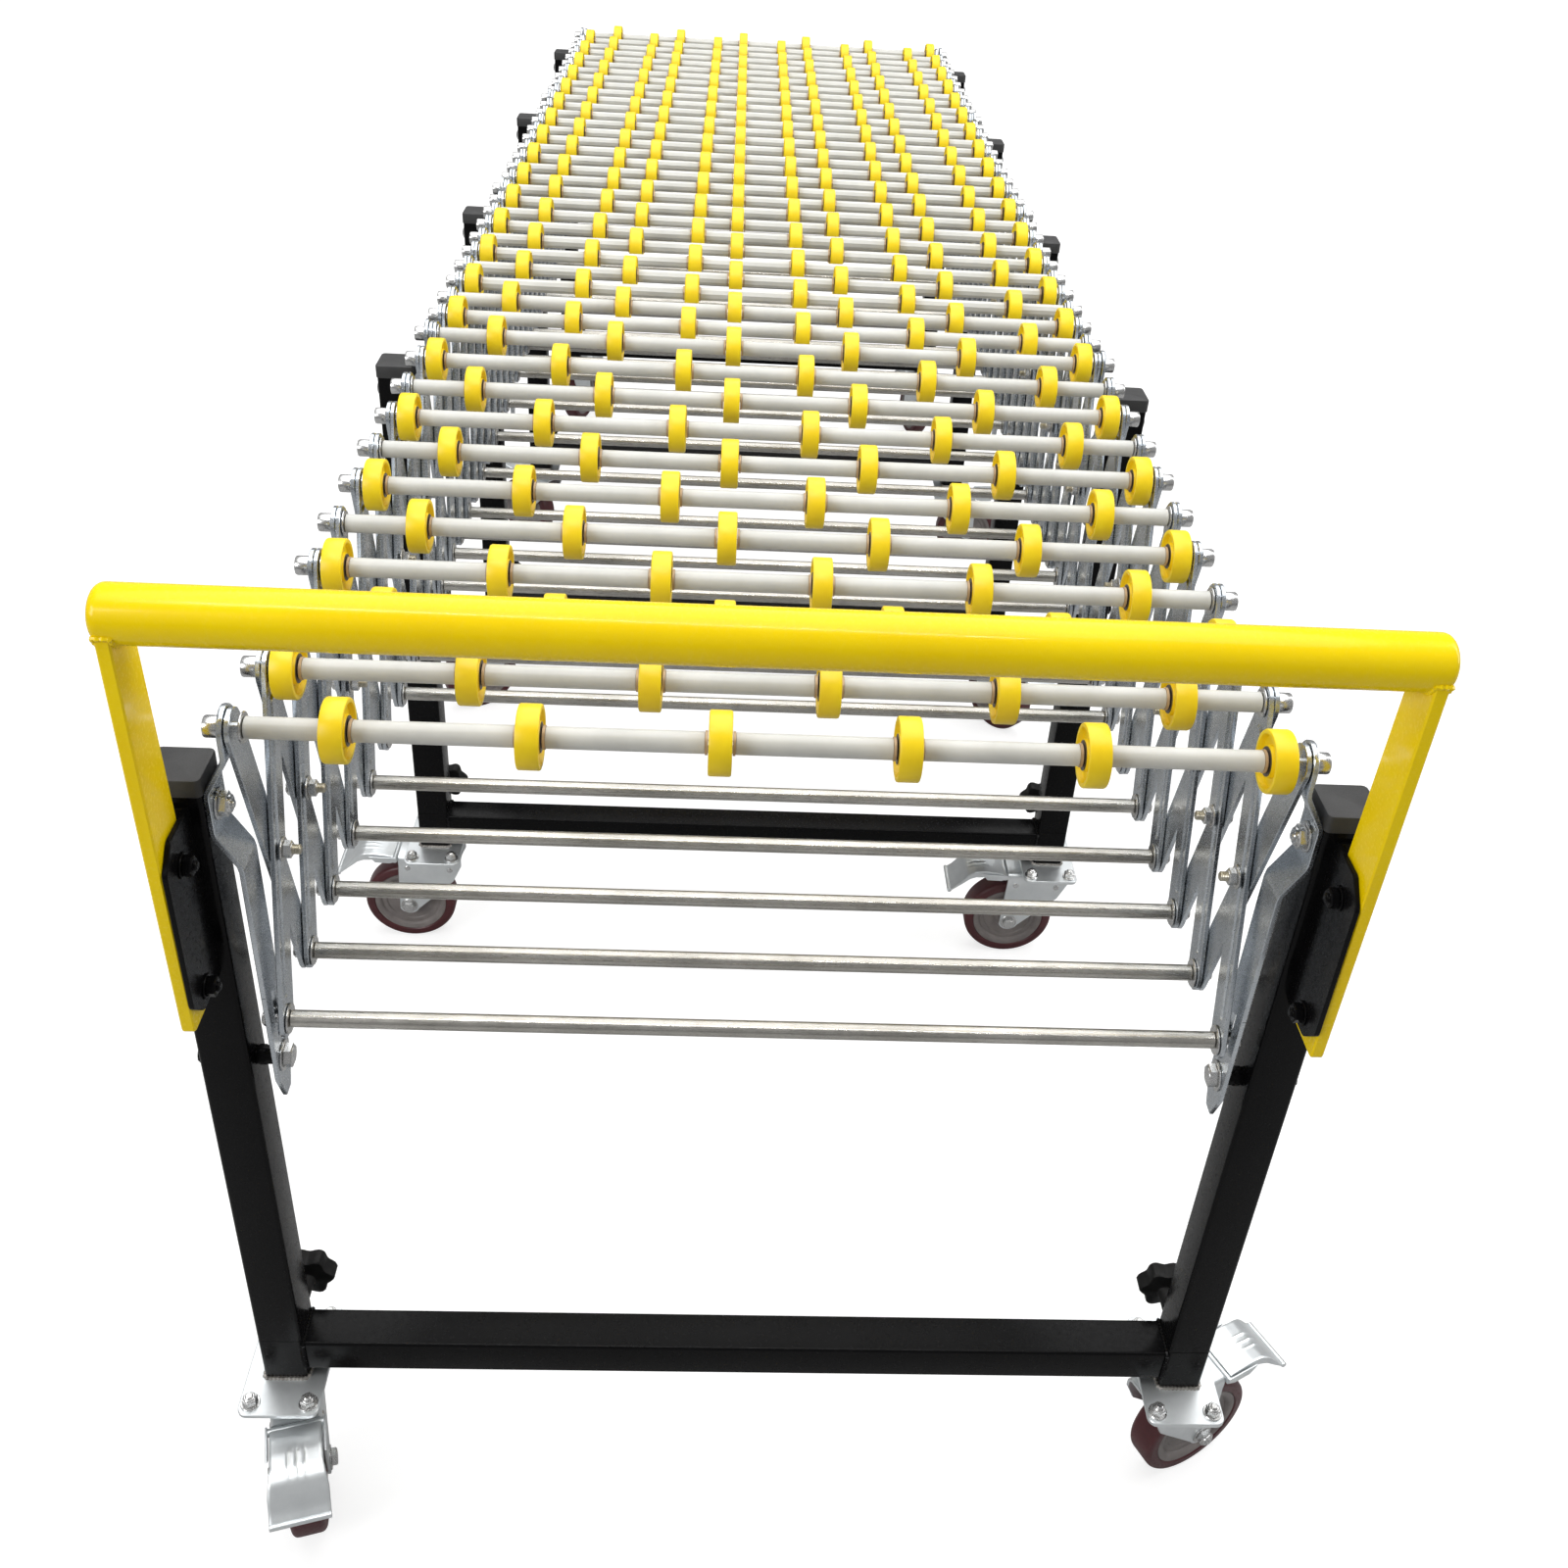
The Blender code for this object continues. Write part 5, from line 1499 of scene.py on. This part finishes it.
@dataclass
class LegFrames(Assembly):
    """The lower frames: feet and posts, crossbar with its welds, and the caster plates."""

    foot: float = 0.167
    post_top: float = 0.600
    post_play: float = 0.0056
    bar_side: float = 0.038
    bar_bottom: float = 0.180
    bar_corner: float = 0.003
    plate_size: Triple = (0.074, 0.116, 0.005)
    plate_corner: float = 0.009
    plate_bevel: float = 0.0007
    bolt_inset: Pair = (0.0105, 0.0125)
    nut_across: float = 0.0125
    head_height: float = 0.0045
    tube_bevel: float = 0.0003
    post_corner: float = 0.002
    weld_over: float = 0.001
    bar_weld: Pair = (0.0019, 0.0034)
    foot_weld: Pair = (0.0021, 0.0036)
    foot_weld_corner: float = 0.004

    def build(self) -> None:
        """Builds the five lower frames."""
        for leg, row in enumerate(self.bed.leg_rows, 1):
            self._frame(f"leg_frame_{leg}", self.bed.y(row))
        LOG.info("leg frames built")

    def _frame(self, body: str, y: float) -> None:
        """Builds one frame: crossbar, feet, posts, plates, bolts and welds.

        Args:
            body: The frame's body.
            y: Where it is along the bed.
        """
        bed = self.bed
        middle = (y, self.bar_bottom + self.bar_side / 2.0)
        section = rounded_box(self.bar_side, self.bar_side, self.bar_corner, 4) + middle
        shapes = [loft(at_levels([(section, -bed.tube_face), (section, bed.tube_face)], axis=0))]
        side_of_post = bed.tube_side - self.post_play
        post = rounded_box(side_of_post, side_of_post, self.post_corner, 2)
        over = self.bar_side + self.weld_over
        ring = rounded_box(over, over, self.bar_corner) + middle
        spans = (
            (bed.tube_section, self.foot + 0.0001, bed.seam - 0.0003),
            (post, self.foot + 0.002, self.post_top),
        )
        for side in SIDES:
            x = side * bed.tube_middle
            for outline, low, high in spans:
                shapes.append(plate(outline, high - low, self.tube_bevel).shifted(x, y, low))
            self._plate(body, x, y)
            path = at_levels([(ring, side * (bed.tube_face - 0.0004))], axis=0)[0]
            bead = weld_bead(path, *self.bar_weld)
            self.bench.add("crossbar_welds", body, Finishes.BLACK_COAT, bead)
        self.bench.add("lower_frame", body, Finishes.BLACK_COAT, shapes, [body])

    def _plate(self, body: str, x: float, y: float) -> None:
        """Builds one zinc caster plate with its weld and four bolts.

        Args:
            body: The frame's body.
            x: Where the foot is across the bed.
            y: Where it is along the bed.
        """
        wide, long, thick = self.plate_size
        flat = plate(rounded_box(wide, long, self.plate_corner, 4), thick, self.plate_bevel)
        under = self.foot - thick
        self.bench.add("caster_plates", body, Finishes.SATIN_ZINC, flat.shifted(x, y, under))
        over = self.bed.tube_side + self.weld_over
        ring = rounded_box(over, over, self.foot_weld_corner) + (x, y)
        bead = weld_bead(at_levels([(ring, self.foot + 0.0006)])[0], *self.foot_weld)
        self.bench.add("foot_welds", body, Finishes.WELD, bead)
        nut = self.parts.lock_nut(self.nut_across)
        head = self.parts.hex_nut(self.nut_across, self.head_height)
        reach = (wide / 2.0 - self.bolt_inset[0], long / 2.0 - self.bolt_inset[1])
        for across in SIDES:
            for along in SIDES:
                spot = (x + across * reach[0], y + along * reach[1])
                up = Matrix.Translation((*spot, self.foot)) @ Matrix.Rotation(-QUARTER, 4, "Y")
                down = Matrix.Translation((*spot, under)) @ Matrix.Rotation(QUARTER, 4, "Y")
                placed = [nut.moved(up), head.moved(down)]
                self.bench.add("plate_bolts", body, Finishes.FASTENER, placed)


@dataclass
class Casters(Assembly):
    """Swivel casters: ball race, fork, pressed brake pedal, tread and core.

    The race's, core's and hub's profiles are pairs of distance along the axis and radius. The pedal's
    knots and the ear's corners are (y, z), from the pedal's pivot.
    """

    radius: float = 0.0625
    half_width: float = 0.016
    edge_radius: float = 0.006
    tread_bore: tuple[Pair, ...] = ((0.0012, 0.0495), (0.0, 0.0508))
    trail: float = 0.042
    bridge_top: float = 0.1477
    fork_half: float = 0.023
    fork_back: float = -0.052
    fork_front: float = 0.034
    fork_corner: float = 0.006
    fork_skirt: float = 0.014
    inner_bend: Pair = (0.0065, 0.0035)
    fork_soft: float = 0.0006
    wall: float = 0.003
    toe_radius: float = 0.0145
    axle_radius: float = 0.0048
    axle_head: Pair = (0.0155, 0.0052)
    rivet: Pair = (0.0042, 0.0022)
    rivet_spots: tuple[Pair, ...] = ((-0.040, 0.018), (0.018, 0.020))
    hub: tuple[Pair, ...] = ((-0.0185, 0.0052), (-0.0185, 0.0098))
    pivot_back: float = 0.0563
    pivot_height: float = 0.1437
    sheet: float = 0.0018
    sheet_fold: float = 0.0022
    sheet_steps: int = 30
    sheet_points: int = 41
    sheet_half: float = 0.0235
    sheet_flare: float = 0.0035
    flange: float = 0.0075
    roll: tuple[float, ...] = (-0.0270, 0.0270, 0.0030, 0.0004)
    roll_at: Pair = (-0.0779, -0.0232)
    barrel: tuple[Pair, ...] = ((-0.0252, 0.0036), (-0.0250, 0.0039))
    ear_face: float = 0.0251
    rib_pitch: float = 0.0072
    rib_height: float = 0.0010
    rib_width: float = 0.0011
    rib_start: float = 0.26
    rib_length: float = 0.34
    turns: tuple[tuple[int, int, float], ...] = (
        (1, -1, 15.0), (1, 1, 117.0), (2, -1, -90.0), (2, 1, -90.0), (3, -1, -60.0),
        (3, 1, 40.0), (4, -1, -125.0), (4, 1, 90.0), (5, -1, 160.0), (5, 1, 195.0),
    )
    race: tuple[Pair, ...] = (
        (-0.0008, 0.026), (0.0, 0.0300), (0.0030, 0.0318), (0.0050, 0.0312), (0.0062, 0.0292),
        (0.0076, 0.0292), (0.0088, 0.0312), (0.0110, 0.0310), (0.0128, 0.0280), (0.0139, 0.0262),
    )
    core: tuple[Pair, ...] = (
        (-0.0120, 0.0062), (-0.0150, 0.0066), (-0.0158, 0.0120), (-0.0150, 0.0175), (-0.0120, 0.0190),
        (-0.0095, 0.0205), (-0.0095, 0.0330), (-0.0110, 0.0345), (-0.0110, 0.0400), (-0.0136, 0.0415),
        (-0.0150, 0.0440), (-0.0150, 0.0490), (-0.0135, 0.0500),
    )
    knots: tuple[Pair, ...] = (
        (-0.002, 0.0048), (-0.014, 0.0074), (-0.030, 0.0092), (-0.044, 0.0080),
        (-0.054, 0.0030), (-0.063, -0.0065), (-0.071, -0.0160), (-0.0775, -0.0215),
    )
    ear: tuple[Pair, ...] = (
        (-0.034, 0.0065), (-0.026, -0.0030), (-0.006, -0.0038), (0.003, 0.000), (0.003, 0.0055),
    )

    def build(self) -> None:
        """Builds the ten casters, each turned as it stands."""
        for leg, side, turn in self.turns:
            swivel = (side * self.bed.tube_middle, self.bed.y(self.bed.leg_rows[leg - 1]), 0.0)
            place = Matrix.Translation(swivel) @ Matrix.Rotation(math.radians(turn), 4, "Z")
            label = f"{leg}_{SIDE_NAMES[side]}"
            self._fork(f"caster_fork_{label}", place)
            self._fork_bolts(f"caster_fork_{label}", place)
            self._wheel(f"caster_wheel_{label}", place)
            self._pedal(label, place, leg == 1)
        LOG.info("casters built")

    def _both_cheeks(self, outline: Array, near: float, thickness: float, bevel: float) -> list[Shape]:
        """A plate in YZ on either side of the caster's middle."""
        flat = plate(outline, thickness, bevel)
        return [flat.moved(upright(low_face(side, near, thickness), 0.0, 0.0)) for side in SIDES]

    def _fork(self, body: str, place: Matrix) -> None:
        """Builds the ball race, the bridge with its rounded shoulders, and both cheeks.

        Args:
            body: The body that they ride on.
            place: The caster's swivel.
        """
        top, half, wall, corner = self.bridge_top, self.fork_half, self.wall, self.fork_corner
        stand_up = Matrix.Translation((0, 0, top)) @ Matrix.Rotation(-QUARTER, 4, "Y")
        race = lathe(self.race, 40).moved(stand_up)
        foot, (bend, radius) = top - self.fork_skirt, self.inner_bend
        arch = arc_points((-half + corner, top - corner), corner, 180.0, 90.0, 4)
        right = arc_points((half - bend, top - bend), radius, 0.0, 90.0, 4)
        left = arc_points((-half + bend, top - bend), radius, 90.0, 180.0, 4)
        section = np.concatenate([
            [(-half, foot)], arch, arch[::-1] * (-1.0, 1.0), [(half, foot)],
            [(half - wall, foot)], right, left, [(-half + wall, foot)],
        ])
        back, front, soft = self.fork_back, self.fork_front, self.fork_soft
        stops = (back, back + soft, front - soft, front)
        bridge = loft(at_levels([(section, y) for y in stops], axis=1))
        toe = arc_points((-self.trail, self.radius), self.toe_radius, 205.0, 335.0, 9)
        rear = [(back, top - 0.0135), (back - 0.001, top - 0.030)]
        fore = [(front - 0.012, top - 0.040), (front, top - 0.0135)]
        cheeks = self._both_cheeks(np.concatenate([rear, toe, fore]), half - wall, wall, 0.0005)
        shapes = [part.moved(place) for part in (race, bridge, *cheeks)]
        self.bench.add("caster_forks", body, Finishes.SATIN_ZINC, shapes, [body])

    def _fork_bolts(self, body: str, place: Matrix) -> None:
        """Builds the axle bolt with its nut, and the rivets of the cheeks.

        Args:
            body: The body that they ride on.
            place: The caster's swivel.
        """
        parts, half, axle = self.parts, self.fork_half, (-self.trail, self.radius)
        shank = lathe([(-half, self.axle_radius), (half, self.axle_radius)], 12)
        shapes = [
            parts.hex_head(*self.axle_head).moved(on_side(1, half, *axle)),
            parts.lock_nut(self.axle_head[0]).moved(on_side(-1, half, *axle)),
            shank.shifted(0, *axle),
        ]
        rivet = parts.dome(*self.rivet)
        for side in SIDES:
            for y, drop in self.rivet_spots:
                shapes.append(rivet.moved(on_side(side, half, y, self.bridge_top - drop)))
        self.bench.add("caster_bolts", body, Finishes.FASTENER, [part.moved(place) for part in shapes])

    def _wheel(self, body: str, place: Matrix) -> None:
        """Builds the tread, the core with its stepped rings, and the hub's bearing.

        Args:
            body: The body that they ride on.
            place: The caster's swivel.
        """
        half, soft, outer = self.half_width, self.edge_radius, self.radius
        spot = place @ Matrix.Translation((0.0, -self.trail, self.radius))
        turn = np.radians(np.linspace(0.0, 90.0, 6))
        edge = [(-half + soft - soft * math.cos(t), outer - soft + soft * math.sin(t)) for t in turn]
        tread = [*((-half + depth, size) for depth, size in self.tread_bore), *edge]
        for group, finish, profile, steps, stand in (
            ("caster_treads", Finishes.TREAD, tread, 72, [body]),
            ("caster_cores", Finishes.CORE, self.core, 56, []),
            ("caster_hubs", Finishes.BEARING, self.hub, 24, []),
        ):
            ring = lathe(both_ways(profile), steps, closes=True).moved(spot)
            self.bench.add(group, body, finish, ring, stand)

    def _pressed_sheet(self) -> Shape:
        """The pedal's sheet along its knots: a top with three raised ribs, and sides turned down.

        Across the top the height is crest(u) x sum of exp(-((x - rib) / rib width)^2), where crest(u)
        is the root of a half sine over the middle of the path. The underside is one thickness lower.

        Returns:
            The sheet, about the pedal's pivot.
        """
        knots = np.array(self.knots)
        along = np.linspace(0.0, 1.0, self.sheet_steps)
        path = walked(knots, along * lengths_along(knots)[-1])
        flare = np.clip((along - 0.45) / 0.3, 0.0, 1.0)
        wide = (self.sheet_half + self.sheet_flare * flare)[:, None]
        flange = (self.flange * np.clip((0.93 - along) / 0.5, 0.04, 1.0))[:, None]
        fold, thick = self.sheet_fold, self.sheet
        lip, nook = 0.3 * fold, 0.4 * fold
        rise = np.sin(np.clip((along - self.rib_start) / self.rib_length, 0.0, 1.0) * np.pi) ** 0.5
        top_x = np.linspace(-1.0, 1.0, self.sheet_points)[None, :] * (wide - fold)
        ribs = np.array([-self.rib_pitch, 0.0, self.rib_pitch])
        ridges = np.exp(-(((top_x[:, :, None] - ribs) / self.rib_width) ** 2)).sum(axis=2)
        top = (self.rib_height * rise)[:, None] * ridges
        inside, deep = wide - thick, -flange - fold
        shoulder, edge, under = (np.full_like(wide, -drop) for drop in (lip, fold, thick))
        across = [
            -wide, -wide, -wide + lip, top_x, wide - lip, wide, wide,
            inside, inside, inside - nook, -inside + nook, -inside, -inside,
        ]
        over = [
            deep, edge, shoulder, top, shoulder, edge, deep,
            deep, under - nook, under, under, under - nook, deep,
        ]
        lift = np.concatenate(over, axis=1)
        normal = across_path(unit(np.gradient(path, axis=0)))
        y, z = (path[:, axis, None] + normal[:, axis, None] * lift for axis in (0, 1))
        return loft(np.stack([np.concatenate(across, axis=1), y, z], axis=2))

    def _pedal(self, label: str, place: Matrix, loose: bool) -> None:
        """Builds the pressed pedal with its three ribs, its rolled end and its pivot.

        Args:
            label: The caster's leg and side.
            place: The caster's swivel.
            loose: Whether the pedal has its own body, or rides on the fork.
        """
        body = f"brake_pedal_{label}" if loose else f"caster_fork_{label}"
        shapes = [
            self._pressed_sheet(),
            soft_rod(*self.roll, 14).shifted(0, *self.roll_at),
            lathe(both_ways(self.barrel), 14),
            *self._both_cheeks(np.array(self.ear), self.ear_face, self.sheet, 0.0004),
        ]
        spot = place @ Matrix.Translation((0.0, -self.pivot_back, self.pivot_height))
        placed = [part.moved(spot) for part in shapes]
        self.bench.add("brake_pedals", body, Finishes.SATIN_ZINC, placed, [body] if loose else [])


# --- The studio -------------------------------------------------------------------------------------


@dataclass
class Studio:
    """The camera at the photograph's viewing angle, a pale floor, soft lamps and a white surround.

    A panel is its name, its place, the point it faces, its two sizes and its power in watts. The floor
    glows more from the object outwards, between the two distances of glow_span.
    """

    focal_pixels: float = 1577.9
    image_pixels: float = 1600.0
    middle: Pair = (818.7, 693.6)
    sensor: float = 36.0
    camera_at: Triple = (-0.0425, -2.2412, 1.5252)
    yaw: float = -3.601
    pitch: float = 32.163
    roll: float = 3.953
    floor_span: float = 60.0
    floor_depth: float = 0.0002
    floor_grey: float = 0.42
    floor_roughness: float = 0.9
    floor_specular: float = 0.1
    glow_span: Pair = (1.6, 4.5)
    glow: Pair = (0.72, 0.92)
    surround: Pair = (0.36, 1.0)
    far_clip: float = 200.0
    panels: tuple[tuple[str, Triple, Triple, Pair, float], ...] = (
        ("overhead", (0.0, 0.4, 3.4), (0.0, 0.2, 0.0), (3.4, 5.2), 135.0),
        ("front_left", (-2.8, -3.4, 2.6), (0.0, -0.6, 0.6), (1.6, 1.6), 60.0),
        ("right", (3.2, -0.8, 2.4), (0.0, 0.0, 0.5), (1.2, 3.6), 55.0),
        ("strip", (-0.3, -2.1, 3.1), (0.0, -1.3, 0.9), (2.2, 0.06), 16.0),
    )

    def build(self) -> None:
        """Builds the camera, the floor, the lamps and the world."""
        self._camera()
        self._floor()
        self._lamps()
        self._world()
        bpy.context.scene.view_settings.view_transform = "Standard"
        LOG.info("studio built")

    def _camera(self) -> None:
        """Sets the camera from its yaw, its pitch down and its clockwise roll."""
        yaw, pitch, roll = (math.radians(angle) for angle in (self.yaw, self.pitch, self.roll))
        across = Vector((math.cos(yaw), math.sin(yaw), 0.0))
        level = Vector((-math.sin(yaw), math.cos(yaw), 0.0))
        ahead = level * math.cos(pitch) - Vector((0.0, 0.0, math.sin(pitch)))
        over = level * math.sin(pitch) + Vector((0.0, 0.0, math.cos(pitch)))
        right = across * math.cos(roll) + over * math.sin(roll)
        up = over * math.cos(roll) - across * math.sin(roll)
        data = bpy.data.cameras.new("view_camera")
        data.sensor_width = self.sensor
        data.lens = self.sensor * self.focal_pixels / self.image_pixels
        data.shift_x = (self.image_pixels / 2.0 - self.middle[0]) / self.image_pixels
        data.shift_y = (self.middle[1] - self.image_pixels / 2.0) / self.image_pixels
        data.clip_end = self.far_clip
        camera = linked(bpy.data.objects.new("view_camera", data))
        turn = Matrix((right, up, -ahead)).transposed().to_4x4()
        camera.matrix_world = Matrix.Translation(self.camera_at) @ turn
        bpy.context.scene.camera = camera

    def _floor(self) -> None:
        """Lays a pale floor that shows white to the camera and keeps the object's shadow."""
        span, low = self.floor_span, -self.floor_depth
        corners = [(-span, -span, low), (span, -span, low), (span, span, low), (-span, span, low)]
        mesh = bpy.data.meshes.new("studio_floor")
        mesh.from_pydata(corners, [], [(0, 1, 2, 3)])
        floor = linked(bpy.data.objects.new("studio_floor", mesh))
        made = bpy.data.materials.new("studio_floor")
        made.use_nodes = True
        tree = made.node_tree
        shader, output = tree.nodes["Principled BSDF"], tree.nodes["Material Output"]
        fill(tree, shader, {
            "Base Color": (self.floor_grey, self.floor_grey, self.floor_grey, 1.0),
            "Roughness": self.floor_roughness,
            "Specular IOR Level": self.floor_specular,
        })
        where = add_node(tree, "TexCoord", {}).outputs["Object"]
        away = add_node(tree, "VectorMath", {0: where}, operation="LENGTH").outputs["Value"]
        lift = map_range(tree, away, self.glow_span, self.glow)
        seen = add_node(tree, "LightPath", {}).outputs["Is Camera Ray"]
        strength = add_node(tree, "Math", {0: seen, 1: lift}, operation="MULTIPLY").outputs[0]
        glow = add_node(tree, "Emission", {"Strength": strength}).outputs["Emission"]
        both = add_node(tree, "AddShader", {0: shader.outputs["BSDF"], 1: glow}).outputs["Shader"]
        fill(tree, output, {"Surface": both})
        floor.data.materials.append(made)
        floor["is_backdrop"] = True

    def _lamps(self) -> None:
        """Hangs three soft panels, and a strip that lights only gloss and draws bright lines on it."""
        for name, place, target, size, power in self.panels:
            data = bpy.data.lights.new(f"panel_{name}", "AREA")
            data.shape = "RECTANGLE"
            data.size, data.size_y = size
            data.energy = power
            lamp = linked(bpy.data.objects.new(f"panel_{name}", data))
            lamp.location = place
            ahead = Vector(target) - Vector(place)
            lamp.rotation_euler = ahead.to_track_quat("-Z", "Y").to_euler()
            lamp.visible_diffuse = name != "strip"

    def _world(self) -> None:
        """Surrounds the scene with white, at full strength only to camera and transmission rays."""
        world = bpy.context.scene.world or bpy.data.worlds.new("studio_world")
        bpy.context.scene.world = world
        world.use_nodes = True
        tree = world.node_tree
        rays = add_node(tree, "LightPath", {}).outputs
        kinds = {0: rays["Is Camera Ray"], 1: rays["Is Transmission Ray"]}
        seen = add_node(tree, "Math", kinds, operation="MAXIMUM").outputs[0]
        strength = map_range(tree, seen, (0.0, 1.0), self.surround)
        white = (1.0, 1.0, 1.0, 1.0)
        fill(tree, tree.nodes["Background"], {"Color": white, "Strength": strength})


def main() -> None:
    """Loads the frame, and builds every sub-assembly in order."""
    logging.basicConfig(level=logging.INFO, format="%(message)s")
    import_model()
    cad_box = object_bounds()
    bed, bench = Bed(), Bench()
    kinds = (WheelRows, ScissorLinks, BottomRods, UpperLegs, PushHandle, LegFrames, Casters)
    for assembly in [kind(bed, bench) for kind in kinds]:
        assembly.build()
    Studio().build()
    bench.make_all()
    boxes = {"cad": cad_box, "visual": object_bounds()}
    plain = {name: np.array(box, float).tolist() for name, box in boxes.items()}


if __name__ == "__main__":
    main()
